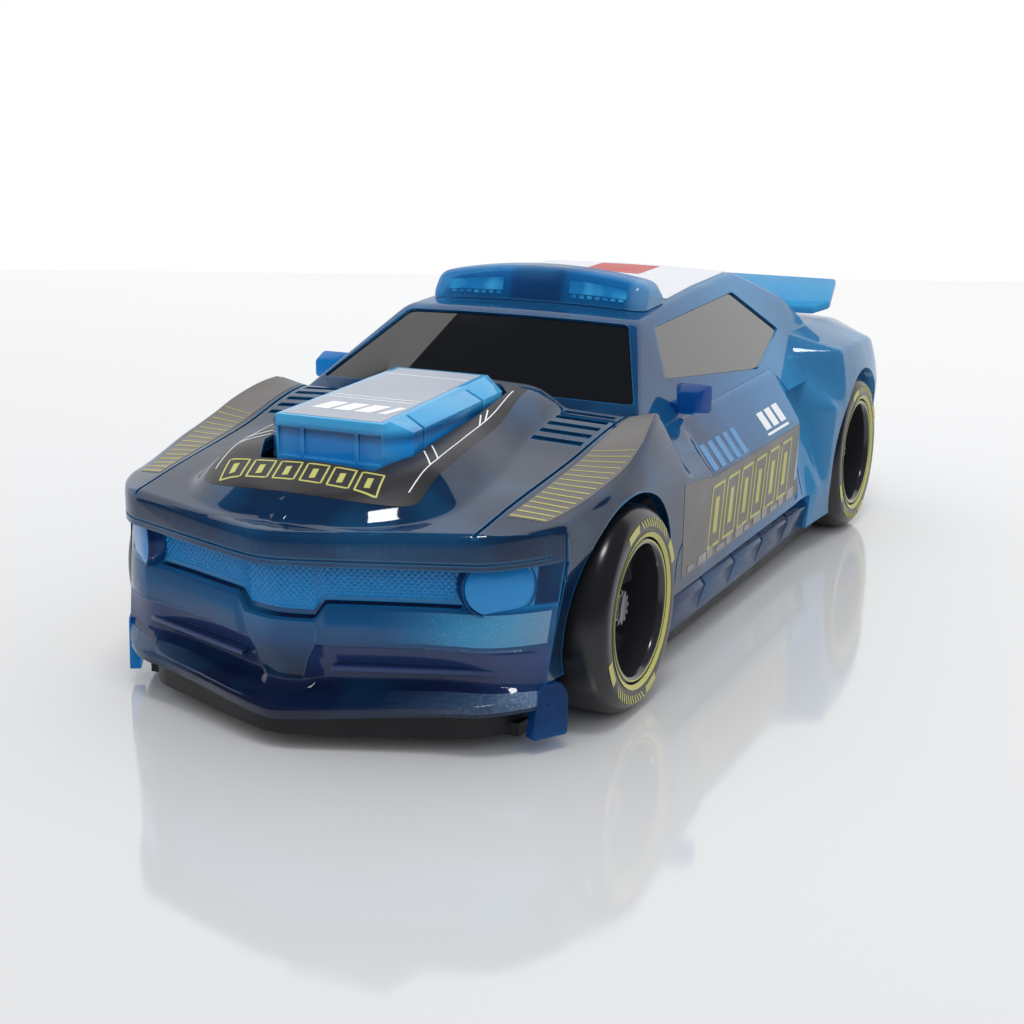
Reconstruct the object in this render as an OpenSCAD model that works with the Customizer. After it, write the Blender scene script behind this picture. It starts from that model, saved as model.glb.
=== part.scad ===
// Toy police car with lights and sound: clear-blue body shell on a black chassis.
// Frame: x to the car's left, y to the rear, z up, origin on the floor under the middle of the car.

/* [Overall] */
// Length from nose to tail (mm)
body_len = 200; // [190:1:210]
// Distance between the axles (mm)
wheelbase = 127; // [123:0.5:131]
// Nose to front axle (mm)
front_overhang = 40; // [38:0.5:42]
// Wall of the body mouldings (mm)
wall = 1.8; // [1.4:0.1:2.2]
// Gap between fixed mouldings (mm)
fit = 0.15; // [0.1:0.05:0.3]

/* [Body widths] */
// Half width at the front fenders (mm)
fender_half_w = 41; // [40:0.5:43]
// Half width at the door shoulder (mm)
door_half_w = 39.5; // [38:0.5:41]
// Half width at the rear haunches (mm)
haunch_half_w = 43; // [42:0.5:45]
// Half width of the roof at its edges (mm)
roof_half_w = 22; // [20:0.5:24]
// Half width of the hood between its seams (mm)
hood_half_w = 28.5; // [27:0.5:30]
// Half width of the hood bulge at its foot (mm)
bulge_half_w = 21; // [20:0.5:23]

/* [Body heights] */
// Underside of the sills (mm)
sill_z = 4.5; // [4:0.25:6]
// Nose edge of the hood (mm)
nose_z = 31.5; // [30:0.5:33]
// Foot of the windscreen (mm)
cowl_z = 41.5; // [40:0.5:43]
// Door shoulder crease (mm)
shoulder_z = 29; // [27.5:0.5:30.5]
// Edge of the roof (mm)
roof_edge_z = 54.5; // [53:0.5:56]
// Rise of the roof at its middle (mm)
roof_crown = 0.8; // [0.5:0.1:1.5]
// Rear deck and haunch tops (mm)
deck_z = 42.5; // [41:0.5:44]
// Height of the hood bulge over the hood (mm)
bulge_h = 5; // [3:0.25:6]

/* [Nose] */
// Rake of the nose in plan, drop per mm of width
nose_rake = 0.38; // [0.33:0.01:0.43]
// Bluntness of the nose point (mm)
nose_blunt = 1.2; // [0.8:0.2:4]
// Depth of the hood brow over the bumper (mm)
brow_h = 3.4; // [2.5:0.1:4]
// Setback of the grille band behind the brow (mm)
grille_back = 4.2; // [3:0.1:5.5]
// Lower edge of the grille band (mm)
grille_z = 22; // [21:0.25:23]
// Headlight lens height before the brow trims it (mm)
lamp_d = 9.2; // [7:0.2:10]
// Extra width of the headlight lens (mm)
lamp_long = 2; // [0:0.2:3]
// Height of the bumper lip above the floor (mm)
lip_z = 4.7; // [4.2:0.1:5.2]
// Rise of the bumper lip from its middle to its ends (mm)
lip_rise = 2.2; // [1.2:0.1:2.6]

/* [Wheels] */
// Tyre diameter (mm)
tyre_d = 32.2; // [30:0.2:33]
// Tyre width (mm)
tyre_w = 13; // [11:0.5:14]
// Rim diameter inside the tyre (mm)
rim_d = 22.4; // [20:0.2:24]
// Outer face of the tyres from the middle (mm)
tyre_face_x = 42; // [41:0.25:43]
// Gap between tyre and wheel arch (mm)
arch_gap = 1.8; // [1.4:0.1:2]
// Axle diameter (mm)
axle_d = 3; // [2.5:0.1:3.5]
// Radial running gap of the axles in their bearings (mm)
axle_run = 0.05; // [0.03:0.01:0.09]
// Number of spokes in a rim
spokes = 5; // [4:1:7]

/* [Hood scoop button] */
// Length of the scoop (mm)
scoop_len = 38; // [34:0.5:39]
// Width of the scoop (mm)
scoop_w = 24; // [20:0.4:24.4]
// Top of the scoop at its front edge (mm)
scoop_top_z = 45.4; // [44.4:0.2:47]
// Rise of the scoop's top from front to rear (mm)
scoop_rise = 1.6; // [0:0.2:2.4]
// Travel of the scoop when pressed (mm)
scoop_travel = 1.5; // [1:0.1:2]
// Gap around the scoop in the hood (mm)
scoop_gap = 0.6; // [0.4:0.05:0.9]
// Extra opening of the hood ahead of the scoop (mm)
scoop_mouth = 3; // [1:0.25:3.5]

/* [Light bar] */
// Length of the light bar across the roof (mm)
bar_len = 42; // [38:0.5:44]
// Depth of the light bar along the car (mm)
bar_d = 11; // [9:0.5:13]
// Height of the light bar at its middle (mm)
bar_h = 7; // [5.6:0.2:8]

/* [Rear wing] */
// Span of the wing (mm)
wing_span = 65; // [58:1:68]
// Chord of the wing (mm)
wing_chord = 13.5; // [11:0.5:15]
// Height of the wing above the deck (mm)
wing_rise = 1.4; // [1:0.2:3]

/* [Chassis and electrics] */
// Underside of the chassis floor (mm)
floor_z = 2; // [1.6:0.1:2.6]
// Thickness of the chassis floor (mm)
floor_t = 2; // [1.6:0.1:2.4]
// Cell diameter (mm)
cell_d = 10.5; // [10:0.1:10.6]
// Cell length (mm)
cell_len = 44.5; // [43:0.5:45]
// Speaker diameter (mm)
speaker_d = 27; // [24:0.5:29]
// Screw shank diameter (mm)
screw_d = 2; // [1.8:0.1:2.4]
// Travel of the power switch (mm)
switch_travel = 3; // [2:0.25:4]

/* [Hidden] */
$fn = 48;
eps = 0.01;
nose_y = -body_len / 2;
tail_y = body_len / 2;
fa = nose_y + front_overhang;
ra = fa + wheelbase;
tyre_r = tyre_d / 2;
arch_r = tyre_r + arch_gap;
wheel_in_x = tyre_face_x - tyre_w;
arch_in_x = wheel_in_x - 2;

clear_blue = [0.10, 0.36, 0.66, 0.8];
black = [0.07, 0.07, 0.08];
steel = [0.75, 0.76, 0.78];

// Smooth interpolation: a rail is a list of [y, x, z], and its slopes never overshoot.

function span_at(t, y, i = 0) = i >= len(t) - 2 || y < t[i + 1][0] ? i : span_at(t, y, i + 1);
function chord_slope(t, i, k) = (t[i + 1][k] - t[i][k]) / (t[i + 1][0] - t[i][0]);
function both_slopes(a, b) = a * b <= 0 ? 0 : 2 * a * b / (a + b);
function rail_slope(t, i, k) =
    i == 0 ? chord_slope(t, 0, k)
    : i == len(t) - 1 ? chord_slope(t, i - 1, k)
    : both_slopes(chord_slope(t, i - 1, k), chord_slope(t, i, k));
function rail(t, y, k) =
    let (i = span_at(t, y), h = t[i + 1][0] - t[i][0], s = min(1, max(0, (y - t[i][0]) / h)))
    (2 * s * s * s - 3 * s * s + 1) * t[i][k]
    + (s * s * s - 2 * s * s + s) * h * rail_slope(t, i, k)
    + (3 * s * s - 2 * s * s * s) * t[i + 1][k]
    + (s * s * s - s * s) * h * rail_slope(t, i + 1, k);

// Plan of the nose: how far the front edge lies behind its point at a distance x from the middle.

corner_x = hood_half_w - 0.5;
corner_bend = 0.091;
function bow(x) =
    sqrt(nose_blunt * nose_blunt + nose_rake * nose_rake * x * x) - nose_blunt
    + corner_bend * pow(max(0, abs(x) - corner_x), 2);
crease_x = 37.5;
crease_y = nose_y + bow(crease_x);
bow_steps = 36;
function bow_line(d, w) =
    [for (i = [-bow_steps:bow_steps]) [w * i / bow_steps, nose_y + bow(crease_x * i / bow_steps) + d]];

// Character lines of the lower body, front to rear, as [y, x, z].

door_front = fa + 23;
door_rear = ra - 36;
blade_y = ra - 26;
haunch_edge = deck_z - 2.8;
sill_rail = [[nose_y - 1, 34, sill_z], [fa, fender_half_w - 2.5, sill_z],
             [door_front, door_half_w - 1.5, sill_z], [blade_y - 5, door_half_w - 1.5, sill_z],
             [blade_y, haunch_half_w - 4, sill_z + 1],
             [ra, haunch_half_w - 2, sill_z + 2], [ra + 22, haunch_half_w - 5, sill_z + 3],
             [tail_y, haunch_half_w - 10, sill_z + 4]];
low_rail = [[nose_y - 1, 35, 12], [crease_y + 0.5, crease_x - 1.3, 12], [fa, fender_half_w - 0.8, 12],
            [door_front, door_half_w - 0.3, 12], [blade_y - 3, door_half_w - 0.5, 12],
            [blade_y + 2, haunch_half_w - 2.4, 13], [ra, haunch_half_w - 1, 14],
            [ra + 22, haunch_half_w - 4, 14.5], [tail_y, haunch_half_w - 9, 15]];
shoulder_rail = [[nose_y - 1, 35, 27], [crease_y, crease_x + 0.3, 28], [fa, fender_half_w, shoulder_z + 4],
                 [door_front + 12, fender_half_w - 0.3, shoulder_z + 1],
                 [door_front + 15, door_half_w, shoulder_z], [door_rear - 1, door_half_w, shoulder_z],
                 [door_rear + 4, door_half_w - 5, shoulder_z], [blade_y + 3, door_half_w - 5, shoulder_z],
                 [blade_y + 6.5, haunch_half_w - 0.9, shoulder_z], [ra, haunch_half_w, shoulder_z],
                 [ra + 18, haunch_half_w - 2.2, shoulder_z - 0.5],
                 [tail_y, haunch_half_w - 8.5, shoulder_z - 1]];
edge_rail = [[nose_y - 1, 31, nose_z + 0.2], [nose_y + 12, 33, nose_z + 1.3],
             [crease_y + 1, crease_x - 0.3, nose_z + 1.8],
             [fa, fender_half_w - 2.5, nose_z + 5.2], [fa + 22, fender_half_w - 5.6, cowl_z + 0.7],
             [fa + 26, door_half_w - 5.5, cowl_z - 3.5], [door_rear - 1, door_half_w - 6, cowl_z - 3],
             [door_rear + 4, door_half_w - 9, cowl_z - 3], [blade_y + 7, door_half_w - 9, cowl_z - 3],
             [blade_y + 12, haunch_half_w - 1.9, haunch_edge],
             [ra + 8, haunch_half_w - 2.6, haunch_edge - 0.6],
             [ra + 25, haunch_half_w - 6, haunch_edge - 3], [tail_y, haunch_half_w - 11, haunch_edge - 4.5]];
seam_rail = [[nose_y - 1, hood_half_w - 1.5, nose_z + 0.3], [nose_y + 10, hood_half_w - 0.3, nose_z + 1.8],
             [crease_y, hood_half_w, nose_z + 3.6], [fa, hood_half_w + 0.5, nose_z + 6],
             [fa + 22, hood_half_w + 1.5, cowl_z - 0.6], [fa + 28, hood_half_w + 0.5, cowl_z - 3],
             [door_rear, hood_half_w - 1, cowl_z - 2.6], [blade_y + 7, hood_half_w - 0.5, deck_z - 2.5],
             [blade_y + 12, hood_half_w + 1, deck_z], [ra + 8, hood_half_w + 1, deck_z],
             [ra + 25, hood_half_w, deck_z - 2], [tail_y, hood_half_w - 3, deck_z - 3]];
bulge_tip = nose_y + 4;
bulge_nose = 15;
function bulge_x(y, w, tip) =
    let (s = min(1, max(0.0005, (y - tip) / bulge_nose))) w * sqrt(1 - (1 - s) * (1 - s));
bulge_rail = [[nose_y, 0, 0], [bulge_tip + 1, 0, 0.2 * bulge_h], [bulge_tip + 3, 0, 0.52 * bulge_h],
              [bulge_tip + 8, 0, 0.78 * bulge_h], [bulge_tip + 16, 0, bulge_h],
              [fa + 13, 0, 0.86 * bulge_h], [fa + 26, 0, 0.55 * bulge_h],
              [fa + 40, 0, 0], [tail_y, 0, 0]];
bulge_in = [[nose_y, 0], [fa - 14, 0], [fa + 8, 3], [tail_y, 3]];
hood_crown = 0.8;

function bump(y) = rail(bulge_rail, y, 2);
function hood_z(y) = rail(seam_rail, y, 2);

// Half section of the lower body at y, drawn in by o, from the sill up to the middle.

function lower_half(y, o) =
    let (z_seam = hood_z(y), w = bulge_half_w - rail(bulge_in, y, 1),
         x_foot = bulge_x(y, w, bulge_tip) + 0.9,
         x_mid = bulge_x(y, w - 2, bulge_tip + 1) + 0.6,
         x_top = bulge_x(y, w - 4.5, bulge_tip + 3) + 0.3)
    [[rail(sill_rail, y, 1) - o, o > line_d ? -5 : rail(sill_rail, y, 2)],
     [rail(low_rail, y, 1) - o, rail(low_rail, y, 2)],
     [rail(shoulder_rail, y, 1) - o, rail(shoulder_rail, y, 2)],
     [0.62 * rail(edge_rail, y, 1) + 0.38 * rail(shoulder_rail, y, 1) + 0.5 - o,
      0.55 * rail(edge_rail, y, 2) + 0.45 * rail(shoulder_rail, y, 2) - 0.3 * o],
     [rail(edge_rail, y, 1) - o, rail(edge_rail, y, 2) - 0.8 * o],
     [rail(seam_rail, y, 1) - 0.3 * o, z_seam - o],
     [x_foot, z_seam + hood_crown * (1 - pow(x_foot / hood_half_w, 2)) - o],
     [x_mid, z_seam + hood_crown * (1 - pow(x_mid / hood_half_w, 2)) + 0.5 * bump(y) - o],
     [x_top, z_seam + hood_crown * (1 - pow(x_top / hood_half_w, 2)) + 0.94 * bump(y) - o],
     [0, z_seam + hood_crown + 1.08 * bump(y) - o]];

// Stations along the lower body: closer together where the form turns quickly.

function run(a, b, n) = [for (i = [0:n - 1]) a + (b - a) * i / n];
function stations(o) =
    concat(run(nose_y - 1, bulge_tip + 1, 4), run(bulge_tip + 1, bulge_tip + 16, 9),
           run(bulge_tip + 16, fa + 20, 9), run(fa + 20, fa + 30, 5),
           run(fa + 30, blade_y - 6, 9), run(blade_y - 6, blade_y + 12, 9),
           run(blade_y + 12, tail_y - o, 9), [tail_y - o]);

// A closed solid through mirrored half sections, one at each y.

module loft(ys, halves) {
    m = len(halves[0]);
    n = 2 * m - 1;
    points = [for (i = [0:len(ys) - 1]) for (j = [0:n - 1])
        let (p = halves[i][j < m ? j : n - 1 - j]) [j < m ? p[0] : -p[0], ys[i], p[1]]];
    last = (len(ys) - 1) * n;
    sides = [for (i = [0:len(ys) - 2]) for (j = [0:n - 1]) for (half = [0, 1])
        let (a = i * n + j, b = i * n + (j + 1) % n, c = b + n, d = a + n) half == 0 ? [a, b, c] : [a, c, d]];
    front = [for (j = [0:m - 2]) for (half = [0, 1]) if (half == 0 || j < m - 2)
        half == 0 ? [j, n - 1 - j, j + 1] : [j + 1, n - 1 - j, n - 2 - j]];
    rear = [for (f = front) [f[2] + last, f[1] + last, f[0] + last]];
    polyhedron(points = points, faces = concat(sides, front, rear), convexity = 8);
}

// Cab: straight pillars between sloped screens; its sides lie in one plane with the upper doors.

screen_foot_y = fa + 22;
roof_front_y = fa + 45.5;
roof_rear_y = ra - 24;
tail_window_y = ra - 6;
rear_foot_y = ra + 2;
header_z = roof_edge_z - 1.6;
ear_z = roof_edge_z + 0.8;
screen_slope = (header_z - cowl_z + 2.4) / (roof_front_y - screen_foot_y);
rear_drop = 6.5;
rear_slope = rear_drop / (tail_window_y - roof_rear_y);
function side_x(z) =
    door_half_w + (roof_half_w - door_half_w) * (z - shoulder_z) / (roof_edge_z - shoulder_z);
side_lean = sqrt(1 + pow((door_half_w - roof_half_w) / (roof_edge_z - shoulder_z), 2));
function slant(m, o) = o * sqrt(1 + m * m);
cab_step = 0.5;
function cab_x(z, o) = side_x(z) - cab_step - o * side_lean;
function cab_half(z_base, z_edge, z_mid, o) =
    [[cab_x(z_base, o), z_base], [cab_x(z_edge, o), z_edge],
     [0.5 * cab_x(z_edge, o), z_edge + 0.75 * (z_mid - z_edge)], [0, z_mid]];
cab_base_z = shoulder_z + 5;
module cab(o) {
    foot = cowl_z - 2.4 - slant(screen_slope, o);
    ys = [screen_foot_y, roof_front_y + 0.27 * o, fa + 60, fa + 80, roof_rear_y - 0.18 * o,
          tail_window_y - 0.8 * o, rear_foot_y - 1.3 * o];
    edges = [foot, header_z - o, header_z + 0.8 - o, header_z + 1.8 - o, ear_z - o, ear_z - rear_drop - o,
             deck_z - 3 - o];
    rises = [0.3, 0.7 * roof_crown, roof_crown, roof_crown, 0.8 * roof_crown, 0.3, 0.3];
    loft(ys, [for (i = [0:6]) cab_half(min(cab_base_z, edges[i] - 1), edges[i], edges[i] + rises[i], o)]);
}

brow_z = nose_z - brow_h;
module ahead_of_nose(d) {
    translate([0, 0, brow_z - 3])
        linear_extrude(40)
            difference() {
                translate([-60, nose_y - 30])
                    square([120, 29.7 + bow(crease_x)]);
                polygon(concat(bow_line(d, crease_x), [[crease_x, nose_y + 90], [-crease_x, nose_y + 90]]));
            }
}

// Tail in side view: a lip over a recessed lamp panel, a bumper and a raised lower edge, as [setback, z].

tail_line = [[0, 80], [0, deck_z - 6.5], [4.5, deck_z - 8.5], [5.5, 22],
             [1.6, 19], [1.2, 10], [7, 3], [7, -10]];
module behind_tail(d) {
    translate([60, 0, 0])
        rotate([90, 0, -90])
            linear_extrude(120)
                polygon(concat([for (p = tail_line) [p[0] - tail_y + d, p[1]]],
                               [[-tail_y - 20, -10], [-tail_y - 20, 80]]));
}

module body_solid(o) {
    difference() {
        union() {
            loft(stations(o), [for (y = stations(o)) lower_half(y, o)]);
            cab(o);
        }
        ahead_of_nose(o);
        behind_tail(o);
    }
}

// Window outlines: the side one is five-sided and seen along x, the windscreen is drawn in its own plane.

side_window = [[fa + 50.6, header_z - 1.6], [roof_rear_y - 7.6, ear_z - 2.9], [ra - 18.6, deck_z + 1.3],
               [door_rear - 4.3, cowl_z - 2.3], [fa + 42.8, cowl_z + 2.2]];
screen_len = (roof_front_y - screen_foot_y) * sqrt(1 + screen_slope * screen_slope);
module screen_frame() {
    translate([0, screen_foot_y, cowl_z - 2.4])
        rotate([atan(screen_slope), 0, 0])
            children();
}
module screen_outline(g) {
    low = 5.6 + g;
    high = screen_len - 1.2 - g;
    low_w = hood_half_w + 0.8 - g;
    high_w = roof_half_w - 0.8 - g;
    polygon([[-low_w, low], [low_w, low], [high_w, high], [-high_w, high]]);
}
module screen_block(g, depth) {
    screen_frame()
        translate([0, 0, -depth])
            linear_extrude(depth + 4)
                screen_outline(g);
}
module side_block(g, x0) {
    mid = (side_window[0] + side_window[2] + side_window[3] + side_window[4]) / 4;
    for (s = [-1, 1])
        mirror([s < 0 ? 1 : 0, 0, 0])
            translate([x0, 0, 0])
                rotate([90, 0, 90])
                    linear_extrude(60)
                        polygon([for (p = side_window) p + g * (mid - p) / norm(mid - p)]);
}

// Panel lines and louvres: slabs that cut only a shallow skin of the body.

line_w = 0.6;
line_d = 0.6;
module plan_line(points) {
    translate([0, 0, 20])
        linear_extrude(40)
            for (i = [0:len(points) - 2])
                hull()
                    for (p = [points[i], points[i + 1]])
                        translate(p)
                            circle(d = line_w, $fn = 8);
}
module side_line(points) {
    translate([20, 0, 0])
        rotate([90, 0, 90])
            linear_extrude(40)
                for (i = [0:len(points) - 2])
                    hull()
                        for (p = [points[i], points[i + 1]])
                            translate(p)
                                circle(d = line_w, $fn = 8);
}
louvre_n = 6;
louvre_pitch = 3.1;
module panel_lines() {
    for (s = [-1, 1])
        mirror([s < 0 ? 1 : 0, 0, 0]) {
            plan_line([for (y = [nose_y + 6, nose_y + 10, crease_y, fa, fa + 24])
                [rail(seam_rail, y, 1), y]]);
            side_line([[fa + 44, cowl_z + 1], [door_front + 14, shoulder_z - 1],
                       [fa + 21, 20], [fa + 21, 12]]);
            side_line([[door_rear + 2, deck_z - 1.5], [door_rear + 6, shoulder_z - 4], [blade_y - 4, 12]]);
            side_line([[fa + 21, 12], [blade_y - 4, 12]]);
            for (i = [0:louvre_n - 1])
                translate([bulge_half_w - 1.6, fa + 7 + louvre_pitch * i, 20])
                    cube([8.8, 0.5 * louvre_pitch, 40]);
        }
}

// Screw posts hang from the shell and stand on the chassis.

post_d = 6;
front_post_x = 22;
rear_post_x = 20;
posts = [[-front_post_x, fa + 17], [front_post_x, fa + 17], [-rear_post_x, ra + 21], [rear_post_x, ra + 21]];
post_foot = floor_z + floor_t + fit;

scoop_y = nose_y + 19;
scoop_corner = 3;
module scoop_plan(g, ahead = 0) {
    w = scoop_w / 2 + g;
    r = scoop_corner;
    y0 = scoop_y - g - ahead;
    y1 = scoop_y + scoop_len + g;
    y_side = y0 + 1.3 * r + 0.7 * ahead;
    polygon([[-w + r, y0], [w - r, y0], [w, y_side], [w, y1 - 1.3 * r], [w - r, y1], [-w + r, y1],
             [-w, y1 - 1.3 * r], [-w, y_side]]);
}
module scoop_top_plan() {
    front_w = scoop_w / 2 - scoop_bevel;
    rear_y = scoop_y + scoop_len - 0.5 * scoop_bevel;
    polygon([[-front_w, scoop_y], [front_w, scoop_y], [front_w - 0.8, rear_y], [-front_w + 0.8, rear_y]]);
}

module arch_cut(y) {
    for (s = [-1, 1])
        translate([s * (arch_in_x + 20), y, tyre_r])
            rotate([0, 90, 0])
                cylinder(r = arch_r, h = 40, center = true, $fn = 64);
}

// Rear window, drawn in the plane of the rear slope.

rear_len = (tail_window_y - roof_rear_y) * sqrt(1 + rear_slope * rear_slope);
module rear_block(g, depth) {
    translate([0, roof_rear_y, ear_z + 0.8 * roof_crown])
        rotate([-atan(rear_slope), 0, 0])
            translate([0, 0, -depth])
                linear_extrude(depth + 4)
                    polygon([[-roof_half_w + 4 + g, 2.5 + g], [roof_half_w - 4 - g, 2.5 + g],
                             [roof_half_w - 1.5 - g, rear_len - 2 - g],
                             [-roof_half_w + 1.5 + g, rear_len - 2 - g]]);
}

crease_lean = 0.19;
function crease_at(z) = crease_y - crease_lean * (brow_z - z);
tail_lamp_x = 19;
tail_lamp_w = 16;
tail_lamp_h = 5;
skirt_z = 12.2;
skirt_front = fa + arch_r + 1;
skirt_rear = blade_y - 1;
module body_shell() {
    color(clear_blue)
        difference() {
            union() {
                difference() {
                    union() {
                        difference() {
                            body_solid(0);
                            panel_lines();
                        }
                        body_solid(line_d);
                    }
                    body_solid(wall);
                }
                intersection() {
                    body_solid(0.5 * wall);
                    for (p = posts)
                        translate([p[0], p[1], post_foot])
                            cylinder(d = post_d, h = 60, $fn = 24);
                }
            }
            for (p = posts)
                translate([p[0], p[1], post_foot - 1])
                    cylinder(d = 0.8 * screw_d + 0.1, h = 2 + floor_t + post_bite, $fn = 24);
            arch_cut(fa);
            arch_cut(ra);
            screen_block(0, 4);
            side_block(0, 10);
            rear_block(0, 4);
            translate([0, 0, nose_z + 2])
                linear_extrude(30)
                    scoop_plan(scoop_gap, scoop_mouth);
            rotate([90, 0, 90])
                translate([0, 0, -60])
                    linear_extrude(120)
                        polygon([[nose_y - 10, -10], [fa - 8, -10], [fa - 8, fin_top + fit],
                                 [crease_at(fin_top), fin_top + fit], [crease_at(brow_z), brow_z],
                                 [nose_y - 10, brow_z]]);
            translate([-60, fa, -10])
                cube([120, skirt_rear + fit - fa, 10 + skirt_z]);
            for (s = [-1, 1])
                translate([s * tail_lamp_x - tail_lamp_w / 2, tail_y - 6, deck_z - 17])
                    cube([tail_lamp_w, 5, tail_lamp_h]);
        }
}

// Bumper: a profile carried round the bow of the nose, with another profile at the chin.
// Each row is [z and setback at the sides, z, setback and half width at the chin, share of the lip's rise].

bumper_t = 2.4;
bumper_in = 0.065;
bumper_lean = 0.0019;
bumper_end = crease_x - 0.3;
bumper_top = brow_z - fit;
chin_blend = 1.4;
bumper_rows = [[lip_z, 1.8, lip_z, 1.8, 3, 1], [lip_z + 1.6, 1.3, lip_z + 1.6, 1.3, 3, 1],
               [lip_z + 3.8, 5.2, lip_z + 3.8, 5, 3, 0.6], [lip_z + 5, 6.6, lip_z + 5, 5.4, 3.2, 0.3],
               [grille_z - 6.9, 5.8, grille_z - 8.6, 4.4, 4.6, 0],
               [grille_z - 6.3, 3, grille_z - 6.4, 3.8, 5.8, 0],
               [grille_z - 3.6, 2.6, grille_z - 4.5, 3.4, 6.4, 0],
               [grille_z - 0.5, 3.3, grille_z - 2.8, 3.2, 6, 0],
               [grille_z + 0.2, grille_back + 0.4, grille_z - 2.1, grille_back + 0.4, 5.4, 0],
               [bumper_top, grille_back, bumper_top, grille_back, 5.4, 0]];
function lip_at(x) = lip_rise * abs(x) / bumper_end;
function chin(x, w) = min(1, max(0, (w + chin_blend - abs(x)) / chin_blend));
function bumper_point(row, p, back) =
    let (k = chin(p[0], row[4]), e = pow(abs(p[0]) / bumper_end, 6),
         z = row[0] + k * (row[2] - row[0]) + row[5] * lip_at(p[0]),
         narrow = (1 - back * bumper_in) * (1 - bumper_lean * (brow_z - z)),
         d = (row[1] + k * (row[3] - row[1])) * (1 - e) - e * crease_lean * (brow_z - z) - fit)
    [p[0] * narrow, p[1] + d + back * bumper_t * (1 - e), z];
module bow_panel(rows) {
    line = bow_line(0, bumper_end);
    m = len(line);
    n = len(rows);
    points = [for (back = [0, 1]) for (row = rows) for (p = line) bumper_point(row, p, back)];
    half_n = n * m;
    skin = [for (r = [0:n - 2]) for (i = [0:m - 2]) for (half = [0, 1])
        let (a = r * m + i) half == 0 ? [a, a + m, a + m + 1] : [a, a + m + 1, a + 1]];
    rim = concat([for (i = [0:m - 2]) i], [for (r = [0:n - 2]) r * m + m - 1],
                 [for (i = [m - 1:-1:1]) (n - 1) * m + i], [for (r = [n - 1:-1:1]) r * m]);
    edge = [for (k = [0:len(rim) - 1]) for (half = [0, 1])
        let (a = rim[k], b = rim[(k + 1) % len(rim)])
        half == 0 ? [a, b, b + half_n] : [a, b + half_n, a + half_n]];
    polyhedron(points = points, convexity = 8,
               faces = concat(skin, [for (f = skin) [f[2] + half_n, f[1] + half_n, f[0] + half_n]], edge));
}
module bow_band(d0, d1, x0, x1, z, h) {
    line = [for (i = [0:12]) x0 + (x1 - x0) * i / 12];
    translate([0, 0, z])
        linear_extrude(h)
            polygon(concat([for (x = line) [x, nose_y + bow(x) + d0]],
                           [for (i = [12:-1:0]) [line[i], nose_y + bow(line[i]) + d1]]));
}
lamp_x = 29.5;
lamp_z = 25.2;
lamp_turn = 42;
fin_x = 33.4;
fin_y = crease_y - 4.8;
fin_t = 1.7;
fin_len = 6.2;
fin_turn = 31;
fin_top = 10.4;
module front_bumper() {
    color(clear_blue)
        union() {
            bow_panel(bumper_rows);
            for (s = [-1, 1])
                mirror([s < 0 ? 1 : 0, 0, 0]) {
                    intersection() {
                        translate([lamp_x, nose_y + bow(lamp_x) + grille_back + 0.2, lamp_z])
                            rotate([90, 0, lamp_turn])
                                hull()
                                    for (side = [-1, 1])
                                        translate([side * lamp_long / 2, 0, -1.2])
                                            cylinder(d = lamp_d, h = 2.6);
                        translate([0, nose_y, 0])
                            cube([60, 60, bumper_top]);
                    }
                    translate([fin_x, fin_y, 0])
                        rotate([90, 0, 90 - fin_turn])
                            linear_extrude(fin_t)
                                polygon([[0, floor_z + 0.3], [fin_len, floor_z + 0.3], [fin_len, fin_top - 2],
                                         [fin_len - 1.3, fin_top], [1.2, fin_top]]);
                    bow_band(4.2, 7.4, 7.5, 30, grille_z - 9.4, 0.9);
                }
        }
}

glass_t = 1.4;
glass_proud = 0.4;
module window_insert() {
    color(black)
        difference() {
            union() {
                difference() {
                    cab(wall + fit);
                    cab(wall + fit + glass_t);
                }
                intersection() {
                    difference() {
                        cab(glass_proud);
                        cab(wall + fit + 0.5 * glass_t);
                    }
                    union() {
                        screen_block(fit, 8);
                        side_block(fit, 10);
                        rear_block(fit, 8);
                    }
                }
            }
            translate([-fender_half_w, nose_y, 0])
                cube([2 * fender_half_w, body_len, deck_z - 3]);
        }
}

// Hood scoop: an eight-sided cap that slides in the hood, held by a tab at each end.

scoop_bevel = 2.9;
scoop_bevel_h = 1.8;
slit_w = 0.7;
slit_at = [0.18, 0.7];
panel_mid = 8.6;
panel_side = 3.8;
panel_gap = 0.6;
panel_d = 0.35 * wall;
scoop_skirt_z = nose_z + 3;
scoop_mid_y = scoop_y + 0.5 * scoop_len;
stem_d = 4;
plunger_top = nose_z + 2.6;
tab_gap = 0.5;
tab_reach = 2.4;
tab_front = scoop_y - tab_reach - scoop_mouth;
tab_rear = scoop_y + scoop_len;
function hood_top(y) = hood_z(y) + hood_crown + 1.08 * bump(y);
module scoop_tab(y0, y1, y_low) {
    translate([-4, y0, scoop_skirt_z - 1])
        cube([8, y1 - y0, hood_top(y_low) - wall - tab_gap - scoop_skirt_z + 1]);
}
module scoop_slope(z) {
    translate([0, scoop_y, z])
        rotate([atan(scoop_rise / scoop_len), 0, 0])
            translate([0, -scoop_y, -eps])
                linear_extrude(eps)
                    children();
}
scoop_inner_z = scoop_top_z - scoop_bevel_h - 1;
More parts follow.
